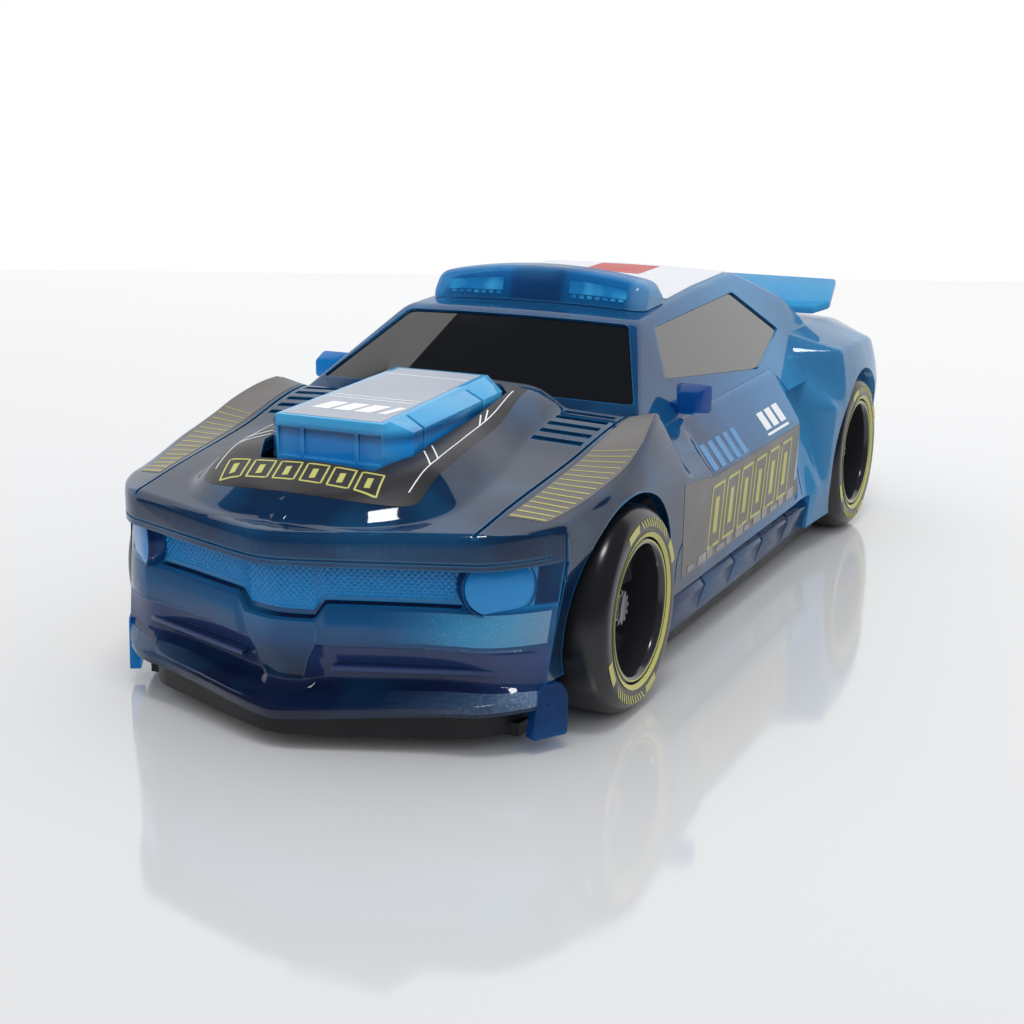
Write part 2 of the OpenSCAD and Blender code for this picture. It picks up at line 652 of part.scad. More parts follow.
module hood_scoop() {
    color(clear_blue)
        difference() {
            union() {
                difference() {
                    hull() {
                        translate([0, 0, scoop_skirt_z])
                            linear_extrude(scoop_top_z - scoop_bevel_h - scoop_skirt_z)
                                scoop_plan(0);
                        scoop_slope(scoop_top_z - scoop_bevel_h)
                            scoop_plan(0);
                        scoop_slope(scoop_top_z)
                            scoop_top_plan();
                    }
                    translate([0, 0, scoop_skirt_z - 1])
                        linear_extrude(scoop_inner_z - scoop_skirt_z + 1)
                            scoop_plan(-wall - 0.4);
                }
                translate([0, scoop_mid_y, plunger_top])
                    cylinder(d = stem_d, h = scoop_top_z - 0.5 * wall - plunger_top);
                scoop_tab(tab_front, scoop_y + 1.5, tab_front);
                scoop_tab(tab_rear - 1.5, tab_rear + tab_reach, tab_rear - 1.5);
            }
            for (s = [-1, 1])
                mirror([s < 0 ? 1 : 0, 0, 0]) {
                    for (f = slit_at)
                        translate([0, scoop_y + f * scoop_len, 0]) {
                            translate([scoop_w / 2 - 0.4 * wall, 0, scoop_top_z - 5.5])
                                cube([wall, slit_w, 10]);
                            translate([scoop_w / 2 - scoop_bevel, 0, scoop_inner_z + 0.8])
                                cube([scoop_bevel + wall, slit_w, 10]);
                        }
                    translate([panel_mid / 2 + panel_gap, scoop_y - 1, scoop_top_z - 6.2])
                        cube([panel_side, 1 + panel_d, 4.4]);
                }
            translate([-panel_mid / 2, scoop_y - 1, scoop_top_z - 6.2])
                cube([panel_mid, 1 + panel_d, 4.4]);
        }
}

// Light bar: arched front outline crossed with a rounded side outline, hollow, standing on the roof.

bar_y = roof_front_y + 12.5;
bar_z = header_z + 0.2;
bar_drop = 2.2;
bar_wall = 1.2;
module bar_front(g) {
    w = bar_len / 2 - g;
    top = bar_h - g;
    arch_r = (w * w + bar_drop * bar_drop) / (2 * bar_drop);
    intersection() {
        translate([-w, g - 2])
            square([2 * w, top + 2 - g]);
        translate([0, top - arch_r])
            circle(r = arch_r, $fn = 200);
    }
}
module bar_side(g) {
    d = bar_d / 2 - g;
    polygon([[-d, -3], [d, -3], [d, 2], [d - 1.4, bar_h - 1.2 - g], [d - 3, bar_h + 1], [-d + 2.6, bar_h + 1],
             [-d + 1, bar_h - 1.4 - g], [-d, 1.4]]);
}
module bar_solid(g) {
    translate([0, bar_y, bar_z])
        intersection() {
            rotate([90, 0, 0])
                translate([0, 0, -20])
                    linear_extrude(40)
                        bar_front(g);
            rotate([90, 0, 90])
                translate([0, 0, -40])
                    linear_extrude(80)
                        bar_side(g);
        }
}
module light_bar() {
    color(clear_blue)
        difference() {
            bar_solid(0);
            bar_solid(bar_wall);
            cab(-fit);
        }
}

bowl_half_w = 6.8;
bowl_d = 5.2;
bowl_h = 3.6;
bowl_x = bar_len / 2 - bar_wall - 0.8 - bowl_half_w;
module light_bar_reflectors() {
    color(steel)
        difference() {
            for (s = [-1, 1])
                translate([s * bowl_x, bar_y + 0.4, bar_z])
                    rotate([90, 0, 0])
                        translate([0, 0, -bowl_d / 2])
                            linear_extrude(bowl_d)
                                polygon([[-bowl_half_w, -1], [bowl_half_w, -1], [bowl_half_w, 0.6 * bowl_h],
                                         [bowl_half_w - 2.4, bowl_h], [-bowl_half_w + 2.4, bowl_h],
                                         [-bowl_half_w, 0.6 * bowl_h]]);
            cab(-fit - 0.05);
        }
}

// Door mirrors on a stalk at the foot of the windscreen pillar.

mirror_y = fa + 41;
mirror_z = cowl_z - 2.6;
mirror_x = side_x(mirror_z) + 1.7;
module mirror_left() {
    color(clear_blue)
        difference() {
            union() {
                hull() {
                    translate([mirror_x - 2.8, mirror_y, mirror_z])
                        cube([6.2, 1, 4.8]);
                    translate([mirror_x - 1.2, mirror_y - 4, mirror_z + 0.7])
                        cube([3.8, 1, 3.2]);
                }
                translate([mirror_x - 4.4, mirror_y - 2.4, mirror_z])
                    cube([5.5, 2.4, 1.8]);
            }
            cab(-fit);
        }
}
module mirror_right() {
    mirror([1, 0, 0])
        mirror_left();
}

wing_y = ra + 4;
wing_t = 1.9;
wing_tilt = 21;
stand_x = 19;
stand_t = 3;
module rear_wing() {
    color(clear_blue)
        difference() {
            union() {
                translate([0, wing_y, deck_z + wing_rise])
                    rotate([wing_tilt, 0, 0])
                        linear_extrude(wing_t)
                            polygon([[-wing_span / 2 + 3, 0], [wing_span / 2 - 3, 0], [wing_span / 2, 3],
                                     [wing_span / 2 - 1.5, wing_chord], [-wing_span / 2 + 1.5, wing_chord],
                                     [-wing_span / 2, 3]]);
                for (s = [-1, 1])
                    translate([s * stand_x - stand_t / 2, 0, 0])
                        rotate([90, 0, 90])
                            linear_extrude(stand_t)
                                polygon([[wing_y + 2, deck_z - 8], [wing_y + 9, deck_z - 8],
                                         [wing_y + 9, deck_z + wing_rise + 4.2],
                                         [wing_y + 2, deck_z + wing_rise + 1.4]]);
            }
            translate([-60, wing_y - 20, deck_z - 20])
                cube([120, 60, 20.9]);
        }
}

// Side skirts: blocks between the wheels, parted by grooves.

skirt_in = door_half_w - 3.2;
skirt_blocks = 5;
module side_skirt_left() {
    len = skirt_rear - skirt_front;
    color(clear_blue)
        difference() {
            translate([0, skirt_rear, 0])
                rotate([90, 0, 0])
                    linear_extrude(len)
                        polygon([[skirt_in, lip_z + 0.4], [door_half_w - 1.4, lip_z + 0.6],
                                 [door_half_w - 0.3, skirt_z - 2], [door_half_w - 1.4, skirt_z - 0.8],
                                 [skirt_in, skirt_z - 0.8]]);
            for (i = [1:skirt_blocks - 1])
                translate([door_half_w - 1.2, skirt_front + len * i / skirt_blocks, lip_z - 1])
                    rotate([-18, 0, 0])
                        translate([0, -0.3, -2])
                            cube([4, 0.6, skirt_z + 4]);
        }
}
module side_skirt_right() {
    mirror([1, 0, 0])
        side_skirt_left();
}

// Chassis: floor, splitter, axle bearings, battery box, board posts, openings.

floor_top = floor_z + floor_t;
cell_pitch = cell_d + 0.7;
cell_n = 3;
bay_y = fa + 57;
bay_len = cell_len + 3;
bay_w = cell_n * cell_pitch + 0.6;
bay_wall = 1.6;
cell_z = floor_top + 0.5 + cell_d / 2;
bay_top = cell_z + cell_d / 2 + 0.6;
cover_lip = 2;
board_z = floor_top + 22;
board_t = 1.6;
board_w = 36;
pin_d = 2;
board_y = nose_y + 21;
board_len = 54;
board_posts = [[-15.5, board_y + 5], [15.5, board_y + 5], [-15.5, board_y + 48], [15.5, board_y + 48]];
speaker_y = fa + 37;
knob_w = 4;
bearing_x = arch_in_x - 5;
bearing_t = 5;
tab_w = 12;
tab_len = 7;
tongue_x = 5.6;
tongue_w = 4;
tongue_h = 1;
tongue_z = floor_top - tongue_h;
cover_screw_y = bay_y + bay_len + 3.8;
switch_y = bay_y + bay_len + tab_len + 8;
head_d = 2 * screw_d;
head_h = 0.7;
head_deep = 0.3;
boss_h = 6;
cover_gap = 0.2;
grip_n = 5;
grip_w = 0.9;
post_bite = 8;
floor_front_w = crease_x - 5.5;
floor_mid_w = skirt_in - fit;
floor_rear_w = haunch_half_w - 9.4;
floor_tail_w = haunch_half_w - 12;
floor_edge = [[floor_front_w, crease_y - 4], [floor_mid_w, fa + 12], [floor_mid_w, ra - 12],
              [floor_rear_w, ra + 8], [floor_tail_w, tail_y - 9.4]];
module chassis_plan() {
    polygon(concat(floor_edge, [for (i = [len(floor_edge) - 1:-1:0]) [-floor_edge[i][0], floor_edge[i][1]]]));
}
splitter_w = crease_x - 3.9;
splitter_rear_w = crease_x - 7.5;
splitter_z = floor_z + 0.4;
module splitter() {
    top = lip_z - fit;
    end = top + lip_at(splitter_w);
    intersection() {
        translate([0, 0, splitter_z])
            linear_extrude(lip_z + lip_rise)
                polygon(concat(bow_line(2.2, splitter_w),
                               [[splitter_rear_w, fa - 14], [-splitter_rear_w, fa - 14]]));
        translate([0, fa, 0])
            rotate([90, 0, 0])
                linear_extrude(front_overhang)
                    polygon([[-splitter_w, 0], [splitter_w, 0], [splitter_w, end], [0, top],
                             [-splitter_w, end]]);
    }
}
module bay_opening(g, z, h) {
    translate([-bay_w / 2 + g, bay_y + g, z])
        cube([bay_w - 2 * g, bay_len - 2 * g, h]);
}
module chassis() {
    color(black)
        difference() {
            union() {
                translate([0, 0, floor_z])
                    linear_extrude(floor_t)
                        chassis_plan();
                splitter();
                for (y = [fa, ra])
                    for (s = [-1, 1])
                        translate([s * bearing_x - bearing_t / 2, y - 4, floor_z])
                            cube([bearing_t, 8, tyre_r + 4 - floor_z]);
                bay_opening(-bay_wall, floor_z, bay_top + bay_wall - floor_z);
                for (p = board_posts)
                    translate([p[0], p[1], floor_z]) {
                        cylinder(d = 4.6, h = board_z - fit - floor_z);
                        cylinder(d = pin_d, h = board_z + board_t + 0.8 - floor_z);
                    }
                translate([0, speaker_y, floor_z])
                    cylinder(d = speaker_d + 4, h = floor_t + 3);
                translate([-tab_w / 2 - bay_wall, bay_y + bay_len, floor_z])
                    cube([tab_w + 2 * bay_wall, tab_len + bay_wall, floor_t + boss_h]);
            }
            for (y = [fa, ra]) {
                translate([-60, y, tyre_r])
                    rotate([0, 90, 0])
                        cylinder(d = axle_d + 2 * axle_run, h = 120);
                for (s = [-1, 1])
                    translate([s * (arch_in_x + 20), y, tyre_r])
                        rotate([0, 90, 0])
                            cylinder(r = arch_r, h = 40, center = true);
            }
            bay_opening(0, floor_z - 1, bay_top - floor_z + 1);
            translate([-tab_w / 2, bay_y + bay_len - 1, floor_z - 1])
                cube([tab_w, 1 + tab_len, 1 + floor_t]);
            translate([0, cover_screw_y, floor_z])
                cylinder(d = 0.8 * screw_d, h = floor_t + boss_h - 1);
            for (s = [-1, 1]) {
                translate([s * tongue_x - tongue_w / 2 - fit, bay_y - bay_wall - 1, tongue_z])
                    cube([tongue_w + 2 * fit, bay_wall + 2, 2 * tongue_h + fit]);
                translate([s * cell_pitch, bay_y - bay_wall - 1, bay_top - 0.7])
                    rotate([-90, 0, 0])
                        cylinder(d = wire_d + 0.4, h = bay_wall + 2);
            }
            translate([0, speaker_y, floor_top])
                cylinder(d = speaker_d + 2 * fit, h = 10);
            for (r = [0:2])
                for (k = [0:max(0, 6 * r - 1)])
                    translate([0, speaker_y, 0])
                        rotate(k * 60 / max(1, r))
                            translate([4 * r, 0, 0])
                                cylinder(d = 1.8, h = 10);
            for (p = posts) {
                translate([p[0], p[1], floor_z - 1])
                    cylinder(d = screw_d, h = 10);
                translate([p[0], p[1], floor_z - 1])
                    cylinder(d = head_d + 2 * fit, h = 1 + head_deep + head_h);
            }
            translate([-(knob_w + switch_travel) / 2 - 0.4, switch_y - 2.4, floor_z - 1])
                cube([knob_w + switch_travel + 0.8, 4.8, 10]);
        }
}

module battery_cover() {
    color(black)
        difference() {
            union() {
                bay_opening(cover_gap, floor_z, floor_t);
                translate([-tab_w / 2 + cover_gap, bay_y + bay_len - 2, floor_z])
                    cube([tab_w - 2 * cover_gap, 2 + tab_len - cover_gap, floor_t - fit]);
                for (s = [-1, 1])
                    translate([s * tongue_x - tongue_w / 2, bay_y - bay_wall + fit, tongue_z + fit])
                        cube([tongue_w, bay_wall + 1.1, 2 * tongue_h - 2 * fit]);
            }
            translate([0, cover_screw_y, floor_z - 1])
                cylinder(d = screw_d, h = 10);
            translate([0, cover_screw_y, floor_z - 1])
                cylinder(d = head_d + 2 * fit, h = 1 + head_deep + head_h);
            for (i = [0:grip_n - 1])
                translate([-8, bay_y + 5 + 2 * grip_w * i, floor_z - 1])
                    cube([16, grip_w, 1.5]);
        }
}

// A pan-head screw standing on its head, with a cross recess below.
module screw(shank) {
    difference() {
        union() {
            cylinder(d = head_d, h = head_h);
            cylinder(d = 0.8 * screw_d, h = head_h + shank);
        }
        for (turn = [0, 90])
            rotate(turn)
                translate([-0.3 * head_d, -0.1 * screw_d, -1])
                    cube([0.6 * head_d, 0.2 * screw_d, 1 + 0.6 * head_h]);
    }
}
module battery_cover_screw() {
    color(steel)
        translate([0, cover_screw_y, floor_z + head_deep])
            screw(boss_h);
}

module chassis_screws() {
    color(steel)
        for (p = posts)
            translate([p[0], p[1], floor_z + head_deep])
                screw(floor_t + post_bite);
}

// Cells lie head to tail: the middle one has its button to the front.
button_h = 0.8;
cell_slack = (bay_len - cell_len) / 2;
module batteries() {
    color([0.55, 0.5, 0.2])
        for (i = [-1, 0, 1])
            translate([i * cell_pitch, bay_y + cell_slack, cell_z])
                rotate([-90, 0, 0])
                    union() {
                        translate([0, 0, i == 0 ? button_h : 0])
                            cylinder(d = cell_d, h = cell_len - button_h);
                        translate([0, 0, i == 0 ? 0 : cell_len - 2 * button_h])
                            cylinder(d = 3.8, h = 2 * button_h);
                    }
}

module battery_contacts() {
    color(steel)
        for (i = [-1, 0, 1])
            for (end = [0, 1])
                translate([i * cell_pitch, bay_y + end * bay_len, cell_z])
                    rotate([0, 0, 180 * end]) {
                        translate([-4, 0.1, -4])
                            cube([8, 0.4, 8]);
                        rotate([-90, 0, 0])
                            cylinder(d1 = 6, d2 = 3, h = cell_slack - 0.1);
                    }
}

module circuit_board() {
    color([0.08, 0.35, 0.16])
        difference() {
            translate([-board_w / 2, board_y, board_z])
                cube([board_w, board_len, board_t]);
            for (p = board_posts)
                translate([p[0], p[1], board_z - 1])
                    cylinder(d = pin_d + 2 * fit, h = 4);
        }
}

module speaker() {
    color(black)
        translate([0, speaker_y, floor_top + 0.1])
            difference() {
                union() {
                    cylinder(d = speaker_d, h = 2.4);
                    cylinder(d1 = speaker_d - 3, d2 = 13, h = 5);
                    cylinder(d = 13, h = 8);
                }
                translate([0, 0, -1])
                    cylinder(d1 = speaker_d - 3, d2 = 8, h = 3);
            }
}

// Wiring: battery leads through the box wall, speaker leads, and switch leads over the box.
wire_d = 1;
wire_end = 0.6;
wire_low = board_z + 0.5 * board_t;
board_rear = board_y + board_len + wire_end;
wires = [[[cell_pitch, bay_y + wire_end, bay_top - 0.7], [cell_pitch, bay_y - 9, bay_top - 0.7],
          [cell_pitch, board_rear, wire_low]],
         [[3, speaker_y, floor_top + 8.8], [3, speaker_y - 4, floor_top + 13],
          [3, speaker_y - 4, board_z - wire_end]],
         [[3, switch_y - 5.3, floor_top + 2], [3, switch_y - 5.3, bay_top + bay_wall + 1],
          [3, bay_y - 5, bay_top + bay_wall + 1], [3, board_rear, wire_low]]];
module wire(points) {
    for (i = [0:len(points) - 2]) {
        step = points[i + 1] - points[i];
        translate(points[i])
            rotate([0, acos(step[2] / norm(step)), atan2(step[1], step[0])])
                cylinder(d = wire_d, h = norm(step), $fn = 16);
        if (i > 0)
            translate(points[i])
                sphere(d = 1.15 * wire_d, $fn = 16);
    }
}
module wiring() {
    color([0.7, 0.1, 0.1])
        for (s = [-1, 1])
            for (points = wires)
                wire([for (p = points) [s * p[0], p[1], p[2]]]);
}

diode_d = 3;
module light_diodes() {
    color([0.9, 0.95, 1, 0.8])
        for (x = [-13, 13])
            translate([x, board_y + 3, board_z + board_t + diode_d / 2])
                rotate([90, 0, 0]) {
                    cylinder(d = diode_d, h = 4.5);
                    translate([0, 0, 4.5])
                        sphere(d = diode_d);
                }
}

switch_w = 8;
switch_h = 3.4;
plunger_d = 3;
module push_switch() {
    color(black)
        translate([0, scoop_mid_y, board_z + board_t])
            difference() {
                translate([-switch_w / 2, -switch_w / 2, 0])
                    cube([switch_w, switch_w, switch_h]);
                translate([0, 0, 0.8])
                    cylinder(d = plunger_d + 0.6, h = 10);
            }
}
module switch_plunger() {
    color([0.8, 0.8, 0.8])
        translate([0, scoop_mid_y, board_z + board_t + 0.8 + scoop_travel + 0.3])
            cylinder(d = plunger_d, h = plunger_top - (board_z + board_t + 1.1 + scoop_travel));
}

module power_switch() {
    color([0.85, 0.85, 0.85])
        translate([-switch_travel / 2, switch_y, 0]) {
            translate([-knob_w / 2, -2, floor_z + 0.2])
                cube([knob_w, 4, floor_t + 1]);
            translate([-knob_w / 2 - 2, -3.2, floor_top + 0.2])
                cube([knob_w + 4, 6.4, 1.4]);
        }
}
module switch_case() {
    inner = knob_w + 4 + switch_travel + 0.6;
    color(steel)
        translate([0, switch_y, floor_top + fit])
            difference() {
                translate([-inner / 2 - 1, -4.6, 0])
                    cube([inner + 2, 9.2, 3.2]);
                translate([-inner / 2, -3.6, -1])
                    cube([inner, 7.2, 3.2]);
            }
}

// Wheels: axles, deep-dish rims with spokes and a serrated nut, rubber tyres.

axle_len = 2 * (tyre_face_x - 6.5);
module axle(y) {
    color(steel)
        translate([-axle_len / 2, y, tyre_r])
            rotate([0, 90, 0])
                cylinder(d = axle_d, h = axle_len);
}
module front_axle() { axle(fa); }
module rear_axle() { axle(ra); }

rim_r = rim_d / 2;
barrel_t = 1.3;
dish = 5.5;
spoke_w = 2.6;
hub_d = 6.4;
nut_teeth = 12;
module rim() {
    color(black)
        difference() {
            union() {
                rotate_extrude($fn = 96)
                    polygon([[rim_r - barrel_t, 0], [rim_r - 0.02, 0], [rim_r - 0.02, tyre_w - 0.8],
                             [rim_r - 0.5, tyre_w - 0.3], [rim_r - barrel_t, tyre_w - 0.3]]);
                for (k = [0:spokes - 1])
                    rotate(90 + k * 360 / spokes)
                        translate([0, -spoke_w / 2, tyre_w - dish - 2.4])
                            cube([rim_r - 0.4 * barrel_t, spoke_w, 2.4]);
                translate([0, 0, 3])
                    cylinder(d = hub_d + 1.5, h = tyre_w - dish - 3);
                translate([0, 0, -2])
                    cylinder(d = hub_d, h = 6);
                translate([0, 0, tyre_w - dish - eps])
                    linear_extrude(2.2)
                        polygon([for (k = [0:2 * nut_teeth - 1])
                            let (r = 2.9 - 0.5 * (k % 2), a = k * 180 / nut_teeth) [r * cos(a), r * sin(a)]]);
            }
            translate([0, 0, -5])
                cylinder(d = axle_d + 0.02, h = 5 + tyre_w - 6.5);
        }
}
module tyre() {
    color([0.13, 0.13, 0.14])
        rotate_extrude($fn = 128)
            polygon([[rim_r, 0.4], [rim_r + 1, 0], [tyre_r - 1.4, 0], [tyre_r - 0.4, 0.4], [tyre_r, 1.4],
                     [tyre_r, tyre_w - 1.4], [tyre_r - 0.4, tyre_w - 0.4], [tyre_r - 1.4, tyre_w],
                     [rim_r + 1, tyre_w], [rim_r, tyre_w - 0.4]]);
}
module place_wheel(side, y) {
    mirror([side < 0 ? 1 : 0, 0, 0])
        translate([wheel_in_x, y, tyre_r])
            rotate([90, 0, 90])
                children();
}
module rim_front_left() { place_wheel(1, fa) rim(); }
module rim_front_right() { place_wheel(-1, fa) rim(); }
module rim_rear_left() { place_wheel(1, ra) rim(); }
module rim_rear_right() { place_wheel(-1, ra) rim(); }
module tyre_front_left() { place_wheel(1, fa) tyre(); }
module tyre_front_right() { place_wheel(-1, fa) tyre(); }
module tyre_rear_left() { place_wheel(1, ra) tyre(); }
module tyre_rear_right() { place_wheel(-1, ra) tyre(); }

body_shell();
front_bumper();
window_insert();
hood_scoop();
light_bar();
light_bar_reflectors();
mirror_left();
mirror_right();
rear_wing();
side_skirt_left();
side_skirt_right();
chassis();
battery_cover();
battery_cover_screw();
batteries();
battery_contacts();
circuit_board();
speaker();
wiring();
light_diodes();
push_switch();
switch_plunger();
power_switch();
switch_case();
chassis_screws();
front_axle();
rear_axle();
rim_front_left();
rim_front_right();
rim_rear_left();
rim_rear_right();
tyre_front_left();
tyre_front_right();
tyre_rear_left();
tyre_rear_right();
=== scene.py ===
"""Looks of a toy police car: clear-blue mouldings, black windows, printed stickers and a plain studio."""

import logging
import math
from dataclasses import dataclass, field
from enum import Enum
from functools import cached_property
from typing import Optional, Sequence, Union

import bpy
import numpy as np
from mathutils import Matrix, Vector

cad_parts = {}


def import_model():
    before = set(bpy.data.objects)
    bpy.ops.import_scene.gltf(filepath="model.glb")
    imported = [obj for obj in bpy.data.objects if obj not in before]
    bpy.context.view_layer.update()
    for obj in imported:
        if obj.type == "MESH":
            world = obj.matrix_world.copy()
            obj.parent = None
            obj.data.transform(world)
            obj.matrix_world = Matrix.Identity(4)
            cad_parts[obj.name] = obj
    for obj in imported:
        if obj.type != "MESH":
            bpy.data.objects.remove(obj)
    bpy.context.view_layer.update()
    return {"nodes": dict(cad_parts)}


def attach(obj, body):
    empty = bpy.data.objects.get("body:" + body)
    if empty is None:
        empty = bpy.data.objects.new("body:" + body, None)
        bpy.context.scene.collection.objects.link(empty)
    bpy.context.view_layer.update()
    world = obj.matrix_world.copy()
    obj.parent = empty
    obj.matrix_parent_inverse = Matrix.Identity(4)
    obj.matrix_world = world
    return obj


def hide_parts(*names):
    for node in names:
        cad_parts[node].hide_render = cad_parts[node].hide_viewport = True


Array = np.ndarray
Node = bpy.types.Node
Rows = Sequence[Sequence[float]]
Tree = bpy.types.NodeTree
LOG = logging.getLogger("toy_police_car")
MM = 0.001


# ---------------------------------------------------------------- finishes


class Axis(Enum):
    """Direction of a change of colour, as the number of an object coordinate."""

    ACROSS = 0
    ALONG = 1
    UP = 2


def linear(hex_code: str) -> tuple[float, float, float, float]:
    """Turns an sRGB hex code into the linear colour that a shader socket takes.

    Args:
        hex_code: six hex digits with a leading hash.

    Returns:
        Red, green, blue and an alpha of one.
    """
    srgb = np.array([int(hex_code[i : i + 2], 16) for i in (1, 3, 5)]) / 255
    low = srgb / 12.92
    high = ((srgb + 0.055) / 1.055) ** 2.4
    return (*np.where(srgb <= 0.04045, low, high).tolist(), 1.0)


def add_node(tree: Tree, kind: str, inputs: Optional[dict] = None, **settings: object) -> Node:
    """Adds a shader node, sets its properties, and sets or links its inputs.

    Args:
        tree: node tree to add to.
        kind: type name of the node, without its common prefix.
        inputs: socket name or number to a constant, to an output socket, or to a node's first output.
        **settings: properties of the node itself.

    Returns:
        The new node.
    """
    node = tree.nodes.new(f"ShaderNode{kind}")
    for key, value in settings.items():
        setattr(node, key, value)
    for key, value in (inputs or {}).items():
        source = value.outputs[0] if isinstance(value, Node) else value
        if isinstance(source, bpy.types.NodeSocket):
            tree.links.new(source, node.inputs[key])
        else:
            node.inputs[key].default_value = source
    return node


def spread(tree: Tree, value: object, start: float, end: float, low: float = 0.0, high: float = 1.0) -> Node:
    """Maps a value's range from start to end on one from low to high, and holds it beyond."""
    ends = {"From Min": start, "From Max": end, "To Min": low, "To Max": high}
    return add_node(tree, "MapRange", {"Value": value, **ends})


def noise(tree: Tree, size: float, detail: float) -> Node:
    """Soft noise in the object's own space, with patches of a size in mm."""
    place = add_node(tree, "TexCoord").outputs["Object"]
    return add_node(tree, "TexNoise", {"Vector": place, "Scale": 1 / (size * MM), "Detail": detail})


def along(tree: Tree, axis: Axis, start: float, end: float) -> Node:
    """A share from 0 to 1 between two places in mm along an axis of the object."""
    place = add_node(tree, "TexCoord").outputs["Object"]
    parts = add_node(tree, "SeparateXYZ", {"Vector": place})
    return spread(tree, parts.outputs[axis.value], start * MM, end * MM)


def blend(tree: Tree, share: Node, first: object, second: object) -> bpy.types.NodeSocket:
    """Mixes two colours by a share."""
    return add_node(tree, "Mix", {0: share, 6: first, 7: second}, data_type="RGBA").outputs[2]


def emptied(owner: bpy.types.ID) -> Tree:
    """Node tree of a new material or world, without its default nodes."""
    owner.use_nodes = True
    owner.node_tree.nodes.clear()
    return owner.node_tree


@dataclass(frozen=True)
class Finish:
    """A surface: its colour, gloss, and the fine grain that the moulding or printing leaves."""

    name: str
    color: str
    roughness: float
    mottle: float = 0.06
    mottle_mm: float = 9.0
    grain: float = 0.03
    grain_mm: float = 0.8
    metallic: float = 0.0
    coat: float = 0.0
    transmission: float = 0.0
    ior: float = 1.49
    specular: float = 0.5

    # Range of the soft noise that the roughness follows.
    NOISE = (0.3, 0.7)

    def principled(self, tree: Tree, tone: object) -> Node:
        """Shader of a tone, with a roughness that swings with a soft noise and a fine grain as bump.

        Args:
            tree: node tree of the material.
            tone: colour, or a socket that gives it.

        Returns:
            The shader node.
        """
        low, high = max(0.0, self.roughness - self.mottle), self.roughness + self.mottle
        gloss = spread(tree, noise(tree, self.mottle_mm, 3.0), *self.NOISE, low, high)
        fine = noise(tree, self.grain_mm, 2.0)
        depth = 0.1 * self.grain_mm * MM
        bump = add_node(tree, "Bump", {"Strength": self.grain, "Distance": depth, "Height": fine})
        inputs = {
            "Base Color": tone,
            "Roughness": gloss,
            "Normal": bump,
            "Metallic": self.metallic,
            "Coat Weight": self.coat,
            "Coat Roughness": 0.03,
            "Transmission Weight": self.transmission,
            "IOR": self.ior,
            "Specular IOR Level": self.specular,
        }
        return add_node(tree, "BsdfPrincipled", inputs)

    def surface(self, tree: Tree) -> Node:
        """Last shader of the finish, built in an empty tree."""
        return self.principled(tree, linear(self.color))

    @cached_property
    def material(self) -> bpy.types.Material:
        """The finish as a material, made once."""
        made = bpy.data.materials.new(self.name)
        tree = emptied(made)
        add_node(tree, "OutputMaterial", {"Surface": self.surface(tree)})
        return made


@dataclass(frozen=True)
class TintedPlastic(Finish):
    """Clear tinted plastic: part of the light passes and keeps the tint, the rest scatters in a haze.

    The finish's own colour is the tint. Colour and share of the haze run through stops along one axis, each
    a distance in mm, a colour and a share; in most finishes the stops paint light and shade onto the one
    plastic.
    Edges get a painted glow in a brighter blue, standing in for light that the plastic pipes out: an edge is
    found by how far the normal turns within a short reach. Soft painted pools of the same blue lie in the
    walls, standing in for light that comes through from inside.
    """

    color: str = "#8FC6EA"
    roughness: float = 0.05
    mottle: float = 0.02
    grain: float = 0.003
    ior: float = 1.6
    axis: Axis = Axis.ALONG
    stops: tuple = ()
    glow: str = "#2E93CC"
    edge: float = 0.6
    edge_mm: float = 0.55
    pool: float = 0.3
    pool_mm: float = 13.0

    # Cosines between which an edge begins to take its painted glow, and the range of noise in which a painted
    # pool of light does.
    EDGE_TURN = (0.985, 0.8)
    POOL_NOISE = (0.5, 0.68)

    def ramp(self, tree: Tree) -> Node:
        """The stops as a colour ramp, with the haze as alpha."""
        first, last = self.stops[0][0], self.stops[-1][0]
        ramp = add_node(tree, "ValToRGB", {"Fac": along(tree, self.axis, first, last)})
        ends = ramp.color_ramp.elements
        inner = [ends.new((stop[0] - first) / (last - first)) for stop in self.stops[1:-1]]
        for mark, (_, color, haze) in zip([ends[0], *inner, ends[len(ends) - 1]], self.stops):
            mark.color = (*linear(color)[:3], haze)
        return ramp

    def surface(self, tree: Tree) -> Node:
        """A tinted clear shader mixed with a hazy glossy one."""
        ramp = self.ramp(tree)
        # Painted light: a share of the glow blue goes on edges, where the normal turns, and in soft noise
        # pools.
        plain = add_node(tree, "NewGeometry").outputs["Normal"]
        eased = add_node(tree, "Bevel", {"Radius": self.edge_mm * MM}, samples=4)
        turn = add_node(tree, "VectorMath", {0: plain, 1: eased}, operation="DOT_PRODUCT").outputs["Value"]
        rim = spread(tree, turn, *self.EDGE_TURN, 0.0, self.edge)
        pool = spread(tree, noise(tree, self.pool_mm, 1.0), *self.POOL_NOISE, 0.0, self.pool)
        share = add_node(tree, "Math", {0: rim, 1: pool}, operation="MAXIMUM")
        milky = self.principled(tree, blend(tree, share, ramp, linear(self.glow)))
        clear = add_node(tree, "BsdfTransparent", {"Color": linear(self.color)})
        return add_node(tree, "MixShader", {0: ramp.outputs["Alpha"], 1: clear, 2: milky})


@dataclass(frozen=True)
class FrostedPlastic(TintedPlastic):
    """Sand-blasted face of the same plastic: a pale painted sparkle of light on its grain, whose share
    changes across the car.
    """

    color: str = "#FFFFFF"
    mottle_mm: float = 0.5
    grain_mm: float = 0.3
    ior: float = 1.49
    axis: Axis = Axis.ACROSS
    glow: str = "#C4D4E6"
    edge: float = 0.0
    pool_mm: float = 0.28


